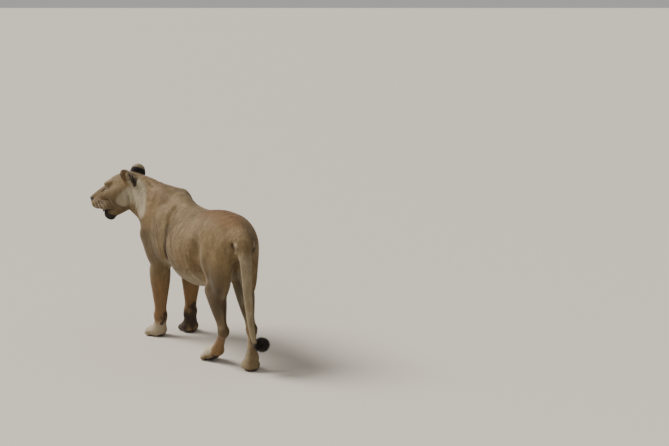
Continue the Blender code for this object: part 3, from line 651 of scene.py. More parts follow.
def skin_level(points):
    return np.maximum(clay.at(points) + coat_depth(points), ABOVE_FLOOR - points[:, 2])


def slope_of(field, points, level, step=0.0006):
    return np.stack([field(points + axis * step) - level for axis in (X, Y, Z)], 1) / step


print("coat 1.7 to 4.5 mm deep")


# %% Grid and surface
NEAR_SKIN = 0.03  # how near the coat's depth counts
MOST_STEP = 0.003


def grid_line(low, high, zones):
    """Grid positions from low to high, with a finer step inside each zone."""
    found = [low]
    while found[-1] < high:
        found.append(found[-1] + min([COARSE] + [step for a, b, step in zones if a <= found[-1] < b]))
    return np.array(found)


grid = (grid_line(-0.26, 0.45, [(0.10, 0.45, FINE)]), grid_line(-0.83, 0.78, [(-0.83, -0.55, FINE)]),
        grid_line(-0.03, 1.03, [(-0.03, 0.13, PAW), (0.68, 1.03, FINE)]))
field = clay.on_grid(grid)
gx, gy, gz = np.meshgrid(*[a.astype(np.float32) for a in grid], indexing="ij")
near = np.abs(field) < NEAR_SKIN
places = np.stack([gx[near], gy[near], gz[near]], 1)
field[near] = np.maximum(field[near] + coat_depth(places), ABOVE_FLOOR - places[:, 2])
del gx, gy, gz
volume = openvdb.FloatGrid(FAR)
volume.copyFromArray(field)
found, quads = volume.convertToQuads(0.0)
quads = quads.astype(np.int64)
skin_points = np.stack([np.interp(found[:, i], np.arange(len(a)), a) for i, a in enumerate(grid)], 1)
for _ in range(2):
    level = skin_level(skin_points)
    slope = slope_of(skin_level, skin_points, level)
    gain = np.clip(level / np.maximum((slope**2).sum(1), 0.05), -MOST_STEP, MOST_STEP)
    skin_points = skin_points - slope * gain[:, None]
print("skin:", len(skin_points), "points,", len(quads), "quads,", round(time.time() - STARTED), "s")


# %% Loose scraps and normals
def largest_shell(points, faces):
    """Keeps the faces joined to the biggest body."""
    label = np.arange(len(points))
    before = None
    while not np.array_equal(label, before):
        before = label.copy()
        least = label[faces].min(1)
        for corner in faces.T:
            np.minimum.at(label, corner, least)
        label = label[label]
    names, counts = np.unique(label[faces[:, 0]], return_counts=True)
    keep = label[faces[:, 0]] == names[counts.argmax()]
    used = np.unique(faces[keep])
    renumbered = np.full(len(points), -1)
    renumbered[used] = np.arange(len(used))
    return points[used], renumbered[faces[keep]]


def crossed(points, faces):
    """The cross product of each quad's diagonals: its direction, and twice its area long."""
    a, b, c, d = (points[corner] for corner in faces.T)
    return np.cross(c - a, d - b)


def normals_of(points, faces):
    total = np.zeros_like(points)
    turned = crossed(points, faces)
    for corner in faces.T:
        np.add.at(total, corner, turned)
    return total / (np.linalg.norm(total, axis=1, keepdims=True) + 1e-12)


skin_points, quads = largest_shell(skin_points, quads)
skin_normals = normals_of(skin_points, quads)
print("one shell of", len(skin_points), "points", round(time.time() - STARTED), "s")

# %% [markdown]
# ## Folds
# Skin hangs and creases where the body bends: rings behind the jaw where the neck turns, a fold over
# the shoulder, faint ribs, wrinkles beside the nose. They are shallow, so they are
# pushed in or out of the finished surface as waves that fade at the edge of their place.

# %% Places on the animal
def near_line(points, a, b, radius, soft):
    """1 within the radius of the line from a to b, fading to 0 over the soft distance."""
    a, b = vec(*a), vec(*b)
    t = np.clip((points - a) @ (b - a) / ((b - a) @ (b - a)), 0, 1)
    return ramp(radius + soft, radius, np.linalg.norm(points - a - t[:, None] * (b - a), axis=1))


def along_lines(points, stations, radius, soft):
    return np.maximum.reduce([near_line(points, a, b, radius, soft) for a, b in zip(stations, stations[1:])])


share = near_line(skin_points, TRUNK[2][:3], TRUNK[3][:3], 0.2, 0.1).mean()
print("by the withers:", share.round(3), "of the points")


# %% Push the folds
SKIN_ABOVE_FLOOR = 0.0003


def wave(way, size):
    return np.sin(way * 2 * math.pi / size)


x, y, z = skin_points.T
f, l, u = head_places(skin_points).T
outside = np.abs(l)
neck = near_line(skin_points, on_head(-0.06, 0.02, -0.10), on_head(-0.15, 0.05, -0.08), 0.075, 0.05)
muzzle = ramp(0.135, 0.155, f) * ramp(0.215, 0.195, f) * ramp(0.014, 0.022, outside) * ramp(-0.035, -0.015, u)
shoulder = near_line(skin_points, (0.17, -0.20, 0.78), (0.20, -0.24, 0.52), 0.03, 0.05)
ribs = ramp(-0.16, -0.08, y) * ramp(0.16, 0.06, y) * ramp(0.06, 0.12, np.abs(x - 0.01))
ribs *= ramp(0.80, 0.72, z) * ramp(0.46, 0.54, z)
out = 0.0016 * neck * wave(skin_points @ unit(NECK_SIDE * 0.8 + AHEAD * 0.6), 0.030)
out += 0.0003 * muzzle * wave(f + u * 0.9, 0.011)
out += 0.0006 * shoulder * wave(y + 0.20 * z, 0.055)
out += 0.0009 * ribs * wave(y + 0.45 * z, 0.045)
skin_points = skin_points + skin_normals * out[:, None]
skin_points[:, 2] = np.maximum(skin_points[:, 2], SKIN_ABOVE_FLOOR)
skin_normals = normals_of(skin_points, quads)
print("folds of up to", (np.abs(out).max() * 1000).round(1), "mm")

# %% [markdown]
# ## Markings
# Skin and coat have to carry the same markings, or the skin shows through in the wrong colour. So they
# are worked out once, for each point of the skin, and every tuft takes those of its root: how cream,
# red, smoky, black and bare the spot is. She is tawny, redder on the rump, shoulders and forearms,
# cream below and on the side of the neck, black behind the ears, and her chin, one forefoot, the backs
# of the wrists and the hocks are stained dark; the back of her right shin is darker too. The smoky
# mark also carries painted shade: on the backs of the upper arms, in the creases behind them and
# beside the root of the tail, and, with her darker hair there, on the back of her left thigh and shin.
# A mark is painted along lines, within a radius, with a soft edge.

# %% Paint
MARKS = ("cream", "red", "smoky", "black", "bare")
marks = {name: np.zeros(len(skin_points)) for name in MARKS}
x, y, z = skin_points.T
f, l, u = head_places(skin_points).T
inside = np.abs(l)
down = -skin_normals[:, 2]
on_the_head = ramp(-0.09, -0.05, f) * ramp(-0.22, -0.18, u) * ramp(0.20, 0.16, inside)
body = 1 - on_the_head
ragged = skin_points + 0.007 * np.sin(skin_points[:, [2, 0, 1]] * 2 * math.pi / 0.045)


def raise_mark(name, amount):
    """Raises a mark to the amount wherever it is less."""
    marks[name] = np.maximum(marks[name], amount)


def paint(name, share, stations, radius, soft, within=1.0, points=skin_points):
    raise_mark(name, share * along_lines(points, stations, radius, soft) * within)


def on_face(side, *rows, place=on_head):
    return [place(forward, left * side, up) for forward, left, up in rows]


print("painting on", len(skin_points), "points")

# %% Marks of trunk, legs and tail
hind_left, hind_right, fore_left, fore_right = HIND[LEFT], HIND[RIGHT], FORE[LEFT], FORE[RIGHT]
raise_mark("cream", 0.60 * body * ramp(0.10, 0.75, down) * ramp(0.56, 0.46, z) * ramp(0.28, 0.36, z))
raise_mark("red", 0.40 * body * ramp(0.2, 0.7, down) * ramp(0.50, 0.44, z) * ramp(0.30, 0.36, z))
back_line = ramp(0.72, 0.82, z) * ramp(0.045, 0.015, np.abs(x + 0.03 * y)) * body * ramp(-0.25, -0.05, y)
raise_mark("smoky", 0.22 * back_line)
paint("cream", 0.55, [on_head(-0.03, 0, -0.15), (0.07, -0.50, 0.56)], 0.05, 0.05,
      body * ramp(0, 0.4, down - skin_normals[:, 1]))
paint("cream", 0.42, TAIL_LINE[2:8], 0.036, 0.012, ramp(0.72, 0.60, z))
paint("red", 0.76, [(-0.01, 0.26, 0.86), (-0.02, 0.45, 0.84)], 0.05, 0.12, ramp(0.1, 0.7, -down))
paint("red", 0.35, [(0.10, -0.36, 0.85), (0.15, -0.40, 0.70)], 0.05, 0.10)
paint("smoky", 0.15, [(0.10, -0.30, 0.84), (0.15, -0.36, 0.68)], 0.06, 0.10)
paint("black", 1.0, [TAIL_LINE[-3], TAIL_LINE[-1]], 0.02, 0.02, ramp(0.20, 0.17, z))
for scar in SCARS:
    paint("cream", 1.0, scar, 0.0045, 0.0050)
for side in SIDES:
    fore, hind = FORE[side], HIND[side]
    shoulder, elbow, knee, hock = fore["shoulder"], fore["elbow"], hind["knee"], hind["hock"]
    inner = ramp(0.2, 0.9, -skin_normals[:, 0] * side)
    inner *= ramp(-0.035, 0.005, (x + 0.015) * side) * ramp(0.62, 0.50, z)
    paint("cream", 0.60, [hind["hip"] - Z * 0.20, knee - Z * 0.05], 0.14, 0.05, inner)
    paint("cream", 0.48, [knee - Z * 0.05, hind["toe_joint"]], 0.09, 0.04, inner)
    paint("red", 0.66, [elbow - Z * 0.10, fore["wrist"]], 0.03, 0.09, ramp(0.54, 0.28, z))
    paint("smoky", 0.55, [hock + vec(0, 0.03, 0.05), hock + vec(0, 0.03, -0.06)], 0.015, 0.02)
    # Painted shade: the back of the upper arm and the crease behind it are darkened where shade falls, more
    # on her left than on her right.
    upper_arm_shade, upper, middle, lower = (0.50, 0.66, 0.78, 0.80) if side == LEFT else (0.24, 0.30, 0.36, 0.36)
    arm, shadow = CREASES["arm", side], [at - Y * 0.018 for at in CREASES["arm", side]]
    upper_arm = [shoulder + vec(0.03 * side, 0.05, -0.02), elbow + vec(0.03 * side, 0.02, 0.05)]
    paint("smoky", upper_arm_shade, upper_arm, 0.030, 0.11)
    paint("smoky", 0.22, arm[:2], 0.004, 0.026)
    paint("smoky", upper, shadow[1:3], 0.006, 0.026)
    paint("smoky", middle, shadow[2:], 0.009, 0.034)
    paint("smoky", lower, shadow[3:], 0.012, 0.030)
    # Painted shade in the crease on each side of the root of the tail.
    paint("smoky", 0.45, CREASES["tail", side], 0.002, 0.010)
print("trunk, legs and tail: share", {name: mark.mean().round(3) for name, mark in marks.items()})

# %% Marks of the feet
soles = ramp(0.006, 0.0015, z) * ramp(0.5, 0.9, down)
for limb, size in PAWS.values():
    foot, _ = paw_place(limb, size)
    pad = near_line(skin_points, foot(-0.045, 0, 0.004), foot(0.035, 0, 0.002), 0.030, 0.006)
    soles = np.maximum(soles, pad * ramp(0.35, 0.75, down))
foot, _ = paw_place(hind_left, HIND_PAW)
paint("cream", 1.0, [foot(0.07, 0, 0.04), foot(-0.01, 0, 0.06)], 0.045, 0.03, ramp(-0.7, 0.1, -down))
foot, _ = paw_place(hind_right, HIND_PAW)
paint("cream", 0.18, [foot(0.08, 0, 0.02), foot(-0.03, 0, 0.05)], 0.045, 0.05)
foot, _ = paw_place(fore_left, 1.0)
paint("cream", 0.66, [foot(0.08, 0, 0.02), foot(-0.02, 0, 0.05)], 0.045, 0.05, ramp(0.13, 0.07, z))
paint("red", 0.60, [hind_left["hock"] - Z * 0.05, hind_left["toe_joint"]], 0.04, 0.03)
thigh, knee, hock = (hind_left[k] for k in ("hip", "knee", "hock"))
shin = [thigh + vec(0.04, 0.06, -0.16), knee + vec(0.03, 0.06, 0.0), hock + Z * 0.05]
# The back of the left thigh and shin: darker hair, and painted shade of the leg's shaded side.
paint("smoky", 0.54, shin, 0.050, 0.09, ramp(0.70, 0.46, z), ragged)
paint("smoky", 0.30, [hind_right["knee"] + vec(-0.03, 0.05, 0.0), hind_right["hock"] + Z * 0.05], 0.05, 0.06)
left, right = fore_left["wrist"], fore_right["wrist"]
stain = [left + vec(-0.005, 0.035, 0.010), left + vec(-0.005, 0.035, -0.035)]
paint("smoky", 0.92, stain, 0.008, 0.020, points=ragged)
paint("smoky", 0.85, [right + vec(0, 0.035, 0.05), right + vec(0, 0.035, -0.03)], 0.010, 0.026, points=ragged)
paint("smoky", 0.92, [right + vec(0, 0.01, -0.01), fore_right["ball"] + vec(0, -0.04, 0.02)], 0.050, 0.04,
      ramp(0.20, 0.09, ragged[:, 2]), ragged)
print("soles:", (soles > 0.5).sum(), "points")

# %% Marks of the head
FACE = [  # mark, share, places on her left, radius and soft edge
    ("cream", 0.34, [(0.215, 0.034, -0.062), (0.150, 0.056, -0.066)], 0.008, 0.018),
    ("cream", 0.88, [(0.015, 0.100, -0.078), (-0.055, 0.105, -0.030)], 0.024, 0.036),
    ("red", 0.30, [(0.20, 0.012, -0.03), (0.10, 0.07, -0.04)], 0.02, 0.03),
    ("black", 0.90, [(0.236, 0.027, -0.017), (0.223, 0.031, -0.018)], 0.0048, 0.0075),
    ("black", 1.0, [(0.100, 0.060, -0.112), (0.136, 0.056, -0.107), (0.165, 0.048, -0.096),
                    (0.200, 0.038, -0.084), (0.230, 0.014, -0.078), (0.234, 0, -0.077)], 0.0062, 0.0040),
]
EYELIDS = [  # mark, share, from and to (along the slit, up, out), radius and soft edge
    ("cream", 1.0, (-0.008, -0.0130, 0.015), (0.009, -0.0115, 0.012), 0.0040, 0.0055),
    ("cream", 0.35, (-0.008, 0.022, 0.02), (0.006, 0.024, 0.01), 0.005, 0.010),
    ("smoky", 0.35, (0.004, -0.022, 0.010), (0.006, -0.040, 0), 0.012, 0.02),
    ("black", 1.0, (-0.0180, 0, 0.018), (0.0170, 0, 0.017), 0.0056, 0.0040),
]
for side in SIDES:
    for name, share, rows, radius, soft in FACE:
        paint(name, share, on_face(side, *rows), radius, soft)
    for name, share, start, end, radius, soft in EYELIDS:
        paint(name, share, [by_eye(side, *start), by_eye(side, *end)], radius, soft)
    neck_patch = on_face(side, (-0.095, 0.10, 0.04), (-0.10, 0.09, -0.14))
    paint("cream", 0.95, neck_patch, 0.026 if side == LEFT else 0.016, 0.050)
    tear = on_face(side, (0.142, 0.036, 0.014), (0.176, 0.030, -0.005), (0.215, 0.027, -0.014))
    paint("smoky", 0.62, [by_eye(side, -0.016, 0, 0.02), *tear], 0.0025, 0.0070)
    lower_lip = ((0.145, 0.040, -0.002), (0.165, 0.028, -0.001), (0.186, 0.006, -0.003))
    paint("black", 1.0, on_face(side, *lower_lip, place=on_jaw), 0.0055, 0.0030)
    seen_flat = on_head(0, 0.09 * side, 0) + (f[:, None] * AHEAD + u[:, None] * ABOVE)
    fold = on_face(side, (0.078, 0.09, -0.046), (0.050, 0.09, -0.086), (0.036, 0.09, -0.120))
    paint("smoky", 0.50, fold, 0.0025, 0.010, ramp(0.015, 0.030, l * side), seen_flat)
    behind = on_face(side, (-0.082, 0.09, 0.060), (-0.086, 0.09, 0.030), (-0.080, 0.09, 0.004))
    paint("smoky", 0.90, behind, 0.0070, 0.010, ramp(0.030, 0.050, l * side), seen_flat)
    for row in range(4):
        back, low = 0.002 * row, 0.010 * row
        dots = (0.5 + 0.5 * wave(f, 0.008)) * ramp(0.020, 0.028, inside)
        spots = on_face(side, (0.214 - back, 0.046, -0.030 - low), (0.168 - back, 0.058, -0.027 - low))
        paint("smoky", 0.42, spots, 0.0010, 0.0030, dots)
raise_mark("smoky", 0.16 * on_the_head * ramp(-0.06, 0.02, f))
paint("smoky", 0.36, [on_head(0.19, 0, -0.03), on_head(0.03, 0, -0.05)], 0.09, 0.04, ramp(0.085, 0.03, u))
paint("black", 0.90, [on_jaw(0.192, 0, -0.020), on_jaw(0.163, 0, -0.058)], 0.041, 0.013)
print("with the head: share", {name: mark.mean().round(3) for name, mark in marks.items()})

# %% Marks of the ears, and bare skin
for side in SIDES:
    root, along, opening, across = ear_directions(side)
    rise, facing = (skin_points - root) @ along, skin_normals @ opening
    cup = [root + along * 0.012, root + along * 0.050 + opening * 0.004]
    paint("red", 1.0, cup, 0.026, 0.012, ramp(0.1, 0.6, facing))
    back = root - opening * 0.010
    ear = near_line(skin_points, back - along * 0.006, back + along * 0.055, 0.042, 0.012)
    behind = ear * ramp(0.0, 0.35, -facing)
    from_root = 1 if side == LEFT else ramp(0.006, 0.018, rise)
    raise_mark("black", 0.97 * behind * ramp(0.050, 0.036, rise) * from_root)
    raise_mark("cream", 0.45 * behind * ramp(0.030, 0.045, rise))
    raise_mark("smoky", 0.70 * ear * ramp(0.55, 0.25, np.abs(facing)) * ramp(0.040, 0.055, rise))
wings = near_line(skin_points, on_head(0.243, -0.019, -0.017), on_head(0.243, 0.019, -0.017), 0.017, 0.0025)
below = near_line(skin_points, on_head(0.246, 0, -0.030), on_head(0.248, 0, -0.044), 0.0100, 0.0025)
nose = np.maximum(wings, below) * ramp(0.233, 0.239, f)
mouth = ramp(0.035, 0.028, inside) * ramp(0.09, 0.11, f)
mouth *= near_line(skin_points, on_head(0.10, 0, -0.086), on_head(0.24, 0, -0.103), 0.012, 0.004)
rims = [near_line(skin_points, by_eye(side, -0.0155, 0, 0.018), by_eye(side, 0.0150, 0, 0.018), 0.0062, 0.001)
        for side in SIDES]
raise_mark("black", np.maximum(nose, soles))
raise_mark("bare", np.maximum.reduce([nose, soles, mouth, *rims]))
skin_marks = np.stack(list(marks.values()), 1)
print("markings: share of skin that is", *MARKS, skin_marks.mean(0).round(3))

# %% [markdown]
# ## Making meshes quickly
# Hundreds of thousands of faces are slow to add one by one, so each piece is filled from whole arrays
# of points and faces. Values that a finish needs, such as the markings, go along as named attributes.

# %% Mesh pieces
def add_object(name, data):
    made = bpy.data.objects.new(name, data)
    bpy.context.scene.collection.objects.link(made)
    return made


def piece(name, points, faces, values=None, uv=None, normals=None):
    """A smooth mesh object from arrays. The points are measured from the middle of her feet."""
    mesh = bpy.data.meshes.new(name)
    sides = faces.shape[1]
    mesh.vertices.add(len(points))
    mesh.vertices.foreach_set("co", (points - MIDDLE).astype(np.float32).ravel())
    mesh.loops.add(faces.size)
    mesh.loops.foreach_set("vertex_index", faces.astype(np.int32).ravel())
    mesh.polygons.add(len(faces))
    mesh.polygons.foreach_set("loop_start", np.arange(0, faces.size, sides, dtype=np.int32))
    mesh.update(calc_edges=True)
    mesh.shade_smooth()
    for key, value in (values or {}).items():
        mesh.attributes.new(key, "FLOAT", "POINT").data.foreach_set("value", value.astype(np.float32))
    if uv is not None:
        layer = mesh.uv_layers.new(name="OFBake")
        layer.data.foreach_set("uv", uv[faces.ravel()].astype(np.float32).ravel())
    if normals is not None:
        mesh.normals_split_custom_set_from_vertices(normals.astype(np.float32))
    made = add_object(name, mesh)
    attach(made, BODY)
    return made


skin = piece("skin", skin_points, quads, marks)
FLESH = [name for name in frame["nodes"]
         if name.split("_")[0] not in ("eye", "tongue") and name != "tail_tuft"]
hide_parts(*FLESH)
print("skin stands for", len(FLESH), "solids;", 2 * len(quads), "triangles")

# %% [markdown]
# ## The lie of the coat
# Hair lies away from the nose: back over the head and neck, along the back, down the flanks and legs,
# and out along the tail. Each part of her has a middle line drawn the way its hair runs. A spot belongs
# to the part whose line is nearest for its thickness, and its hair follows the lines round it,
# weighted by nearness, pressed flat onto the skin.

# %% Middle lines
def leg_line(limb, names, size):
    foot, _ = paw_place(limb, size)
    return [limb[n] for n in names] + [foot(0.0, 0, 0.035), foot(0.09, 0, 0.022)]


HEAD_LINE = [(0.245, 0, -0.020), (0.120, 0, -0.005), (0.0, 0, 0.0), (-0.110, 0, -0.02)]
LINES = {  # stations, and the thickness of the part at each
    "head": (on_face(LEFT, *HEAD_LINE), [0.05, 0.07, 0.10, 0.10]),
    "jaw": ([on_jaw(0.190, 0, -0.02), on_jaw(0.10, 0, -0.05), on_head(-0.02, 0, -0.10)], [0.04, 0.06, 0.07]),
    "neck": ([vec(*s[:3]) for s in NECK[::-1]], [0.09, 0.11, 0.13, 0.14]),
    "trunk": ([vec(*s[:3]) for s in TRUNK], [0.12, 0.16, 0.18, 0.19, 0.20, 0.21, 0.20, 0.17, 0.13, 0.09]),
    "tail": (TAIL_LINE[2:], [0.050, 0.040, 0.035, 0.032, 0.030, 0.026, 0.024, 0.022]),
}
for side, word in SIDES.items():
    root, along, opening, across = ear_directions(side)
    LINES[f"ear_{word}"] = ([root - along * 0.005, root + along * 0.085], [0.040, 0.050])
    bones = leg_line(FORE[side], ("blade", "shoulder", "elbow", "wrist"), 1.0)
    LINES[f"foreleg_{word}"] = (bones, [0.07, 0.09, 0.08, 0.06, 0.06, 0.05])
    bones = leg_line(HIND[side], ("hip", "knee", "hock", "toe_joint"), HIND_PAW)
    LINES[f"hindleg_{word}"] = (bones, [0.12, 0.10, 0.06, 0.05, 0.05, 0.05])
print("middle lines of", *LINES)


# %% The way the hair lies
BARE = MARKS.index("bare")
NEARNESS = 7  # how fast a line loses its say with distance
HANG = 0.22  # how much the weight of the hair turns it down


def flat_on(normals, flow):
    """The flow pressed onto the surface, one long."""
    return unit(flow - normals * (flow * normals).sum(1, keepdims=True) + TINY)


def lie_of_coat(points, normals):
    """Each point's part by number, how far along and round that part it lies (0 to 1), and its hair's way."""
    flow, best = np.zeros_like(points), np.full(len(points), np.inf)
    part, along, around = np.zeros(len(points), int), np.zeros(len(points)), np.zeros(len(points))
    for number, (stations, radii) in enumerate(LINES.values()):
        count = len(stations) - 1
        for i, (a, b) in enumerate(zip(stations, stations[1:])):
            way = b - a
            t = np.clip((points - a) @ way / (way @ way), 0, 1)
            off = points - a - t[:, None] * way
            reach = np.linalg.norm(off, axis=1) / (radii[i] * (1 - t) + radii[i + 1] * t)
            flow += np.exp(-NEARNESS * reach)[:, None] * unit(way)
            nearer = reach < best
            best[nearer], part[nearer], along[nearer] = reach[nearer], number, ((i + t) / count)[nearer]
            across = unit(np.cross(way, Z if abs(unit(way)[2]) < 0.7 else Y))
            third = np.cross(unit(way), across)
            around[nearer] = (np.arctan2(off @ across, off @ third) / (2 * math.pi) + 0.5)[nearer]
    return part, along, around, flat_on(normals, unit(flow + TINY) - Z * HANG)


quad_normals = unit(skin_normals[quads].mean(1) + TINY)
quad_part = lie_of_coat(skin_points[quads].mean(1), quad_normals)[0]
quad_area = np.linalg.norm(crossed(skin_points, quads), axis=1) / 2
quad_bare = skin_marks[:, BARE][quads].max(1)
for number, name in enumerate(LINES):
    print(f"{name}: {quad_area[quad_part == number].sum() * 1e4:.0f} cm2")

# %% [markdown]
# ## The coat
# Particle hair would look right here and be lost when the model leaves Blender. So each tuft is a thin
# solid leaf: it starts just under the skin, widens, carries a low ridge and ends in a tip that stands
# a little off the body. Leaves are scattered evenly over the skin, overlap like thatch, and are
# shortest on the face and feet. Each leaf has its own small patch of the OFBake map, at the place of
# its root when the skin of its part is unrolled round its middle line.

# %% Tufts
rng = np.random.default_rng(20240611)
PATCH = 0.003 / 2  # half the size of a leaf's patch of the map
MARGIN = 0.004  # of the map left free round the patches
ROOT_DEPTH = 0.0005
WIDEST, RIDGE_TOP = 0.42, 0.38  # shares of the length where a leaf is widest and highest
LEAF = np.array(((0, 3, 1), (1, 3, 4), (3, 2, 4), (0, 2, 3), (0, 1, 4), (0, 4, 2)))
LEAF_UV = np.array(((0, -1), (-1, 0), (1, 0), (0, 0), (0, 1)), float)
LEAF_TIP = (0.0, 0.45, 0.45, 0.5, 1.0)


def roots_on(chosen, count):
    """Evenly scattered roots on the chosen quads: their points, normals and marks."""
    total = np.cumsum(quad_area[chosen])
    picks = np.searchsorted(total, (np.arange(count) + rng.random(count)) / count * total[-1])
    a, b = rng.random((2, count, 1))
    corners = quads[chosen[picks.clip(0, len(chosen) - 1)]]

    def blend(values):
        q = values[corners]
        return (q[:, 0] * (1 - a) + q[:, 1] * a) * (1 - b) + (q[:, 3] * (1 - a) + q[:, 2] * a) * b

    return blend(skin_points), unit(blend(skin_normals) + TINY), blend(skin_marks)


def coat_piece(name, roots, normals, root_marks, uv, flow, long, wide, stand, slot):
    """One mesh of leaves. long, wide and stand are arrays in metres: length, width and height of the tip."""
    side = np.cross(normals, flow)
    long, wide, stand = long[:, None], wide[:, None], stand[:, None]
    belly = roots + flow * long * WIDEST
    points = np.stack([
        roots - normals * ROOT_DEPTH,
        belly + side * wide / 2 + normals * stand * 0.50,
        belly - side * wide / 2 + normals * stand * 0.50,
        roots + flow * long * RIDGE_TOP + normals * (stand * 0.62 + 0.0004 + 0.10 * wide),
        roots + flow * long + normals * stand,
    ], 1).reshape(-1, 3)
    points[:, 2] = np.maximum(points[:, 2], ABOVE_FLOOR)
    count = len(roots)
    faces = (LEAF[None] + 5 * np.arange(count)[:, None, None]).reshape(-1, 3)
    values = {key: np.repeat(mark, 5) for key, mark in zip(MARKS, root_marks.T)}
    values.update(shade=np.repeat(rng.random(count), 5), tip=np.tile(LEAF_TIP, count))
    spread = uv[:, None] + LEAF_UV[None] * PATCH
    tilts = (0 * flow, side * 0.45, -side * 0.45, -flow * 0.1, flow * 0.25)
    tilted = np.stack([unit(normals + tilt) for tilt in tilts], 1)
    piece(name, points, faces, values, spread.reshape(-1, 2), tilted.reshape(-1, 3))


print("a leaf has", len(LEAF), "triangles")

# %% How the coat grows on each part
COATS = {  # tufts, then length, width and height of the tips in millimetres
    "head": (38000, 8.0, 1.8, 1.1), "jaw": (10000, 9.0, 1.8, 1.4), "neck": (20000, 16.0, 3.0, 2.2),
    "trunk": (58000, 16.0, 3.1, 2.0), "tail": (8000, 13.0, 2.6, 2.0), "ear": (6000, 8.5, 1.7, 1.5),
    "foreleg": (20000, 11.0, 2.4, 1.6), "hindleg": (24000, 12.0, 2.5, 1.7),
}
MOST_TUFTS = 33000  # in one piece, to stay under 200,000 triangles
STRAY = 0.10  # how far tufts stray from the lie of the coat


def size_of_hair(points, normals, sizes):
    """Shortens the hair on the face and feet, lengthens it under the body, and varies every tuft."""
    long, wide, stand = (size / 1000 for size in sizes)
    f, l, u = head_places(points).T
    face = ramp(0.02, 0.19, f) * ramp(0.14, 0.10, np.abs(l))
    foot = ramp(0.20, 0.06, points[:, 2])
    small = 1 - 0.52 * np.maximum(face, foot)
    under = ramp(0.2, 0.8, -normals[:, 2]) * ramp(0.36, 0.42, points[:, 2]) * ramp(0.60, 0.50, points[:, 2])
    throat = near_line(points, on_head(0.02, 0, -0.13), (0.10, -0.50, 0.60), 0.06, 0.05)
    cheeks = [on_face(side, (-0.01, 0.095, -0.06), (-0.04, 0.085, -0.09)) for side in SIDES]
    cheek = 0.8 * np.maximum(*[along_lines(points, line, 0.02, 0.03) for line in cheeks])
    grown = 1 + 0.9 * under + 0.5 * throat + cheek
    vary = 0.75 + 0.5 * rng.random((3, len(points)))
    long, wide, stand = long * small * grown, wide * small, stand * small * (0.6 * grown + 0.4)
    return long * vary[0], wide * vary[1], stand * vary[2] ** 2


def grow_coat(name, number, kind):
    count, *sizes = COATS[kind]
    count //= 1
    found = roots_on(np.nonzero((quad_part == number) & (quad_bare < 0.5))[0], count)
    keep = (found[2][:, BARE] < 0.3) & (found[0][:, 2] > 0.002)
    roots, normals, root_marks = (values[keep] for values in found)
    _, along, around, flow = lie_of_coat(roots, normals)
    flow = flat_on(normals, unit(flow + rng.normal(0, STRAY, flow.shape)))
    sizes = size_of_hair(roots, normals, sizes)
    halves = np.zeros(len(roots), int)
    if len(roots) > MOST_TUFTS:
        halves = (around > np.median(around)).astype(int)
    for half in np.unique(halves):
        mine = halves == half
        turn = MARGIN + (1 - 2 * MARGIN) * around[mine]
        part_name = f"coat_{name}"
        if halves.any():
            turn = MARGIN + (1 - 2 * MARGIN) * (turn - turn.min()) / (turn.max() - turn.min())
            part_name += "_" + "ab"[half]
        uv = np.stack([turn, MARGIN + (1 - 2 * MARGIN) * along[mine]], 1)
        coat_piece(part_name, roots[mine], normals[mine], root_marks[mine], uv, flow[mine],
                   *[size[mine] for size in sizes], "face_coat" if kind in ("head", "jaw") else "tawny_coat")
        print(part_name, mine.sum(), "tufts")


for number, name in enumerate(LINES):
    grow_coat(name, number, name.split("_")[0])
print("coat grown", round(time.time() - STARTED), "s")

# %% [markdown]
# ## Long hair
# The tuft of the tail, the fringe inside each ear and the whiskers are too long and too curved for
# flat leaves. Each of these hairs or locks is a thin tapering tube that bends along its length. They
# could be curve objects with a bevel, but one mesh with all the tubes of a kind is far lighter.

# %% Tapering tubes
LEANING = Z + 0.013 * X  # never quite along a hair that stands straight up


def ring_round(axis, angles, up=LEANING):
    """Points at the angles on a circle of radius 1 round an axis, or round each of several."""
    first = unit(np.cross(axis, up))
    second = np.cross(axis, first)
    return np.cos(angles)[:, None] * first[..., None, :] + np.sin(angles)[:, None] * second[..., None, :]


def strips(rows, sides):
    """The quads between rows of points that go round, a row after the other."""
    around = [(k, (k + 1) % sides) for k in range(sides)]
    return np.array([(row + a, row + b, row + b + sides, row + a + sides)
                     for row in range(0, rows * sides, sides) for a, b in around])


def tubes(roots, directions, bends, lengths, radii, rings=4, sides=3):
    """Points and triangles of closed tapering tubes. bends shifts each tip, in metres."""
    t = (np.arange(rings) / rings)[None, :, None]
    line = roots[:, None] + directions[:, None] * lengths[:, None, None] * t + bends[:, None] * t**2
    ring = ring_round(directions, np.arange(sides) / sides * 2 * math.pi)
    belly = radii[:, None, None] * (0.75 + 0.5 * np.sin(np.pi * t)) * (1 - t) ** 0.6
    points = (line[:, :, None] + ring[:, None] * belly[..., None]).reshape(len(roots), -1, 3)
    tips = roots + directions * lengths[:, None] + bends
    points = np.concatenate([points, tips[:, None]], 1)
    faces = [(0, k + 1, k) for k in range(1, sides - 1)]
    for a, b, c, d in strips(rings - 1, sides):
        faces += [(a, b, c), (a, c, d)]
    last = (rings - 1) * sides
    faces += [(last + k, last + (k + 1) % sides, rings * sides) for k in range(sides)]
    each = rings * sides + 1
    faces = np.array(faces)[None] + each * np.arange(len(roots))[:, None, None]
    tip = np.append(np.repeat(t.ravel(), sides), 1.0)
    return points.reshape(-1, 3), faces.reshape(-1, 3), np.tile(tip, len(roots)), each


def long_hair(name, slot, roots, directions, bends, lengths, radii, charts, colour=(0, 0, 0, 0, 0), **shape):
    points, faces, tip, each = tubes(roots, unit(directions), bends, lengths, radii, **shape)
    values = {"tip": tip, "shade": np.repeat(rng.random(len(roots)), each)}
    values.update({key: np.full(len(tip), share, float) for key, share in zip(MARKS, colour)})
    spot = np.stack([tip, np.tile(np.arange(each) / each, len(roots))], 1) - 0.5
    made = piece(name, points, faces, values, np.repeat(charts, each, 0) + spot * 2 * PATCH)
    print(name, len(roots), "hairs,", len(faces), "triangles")
    return made


print("a lock has", len(strips(3, 3)) * 2 + 4, "triangles")

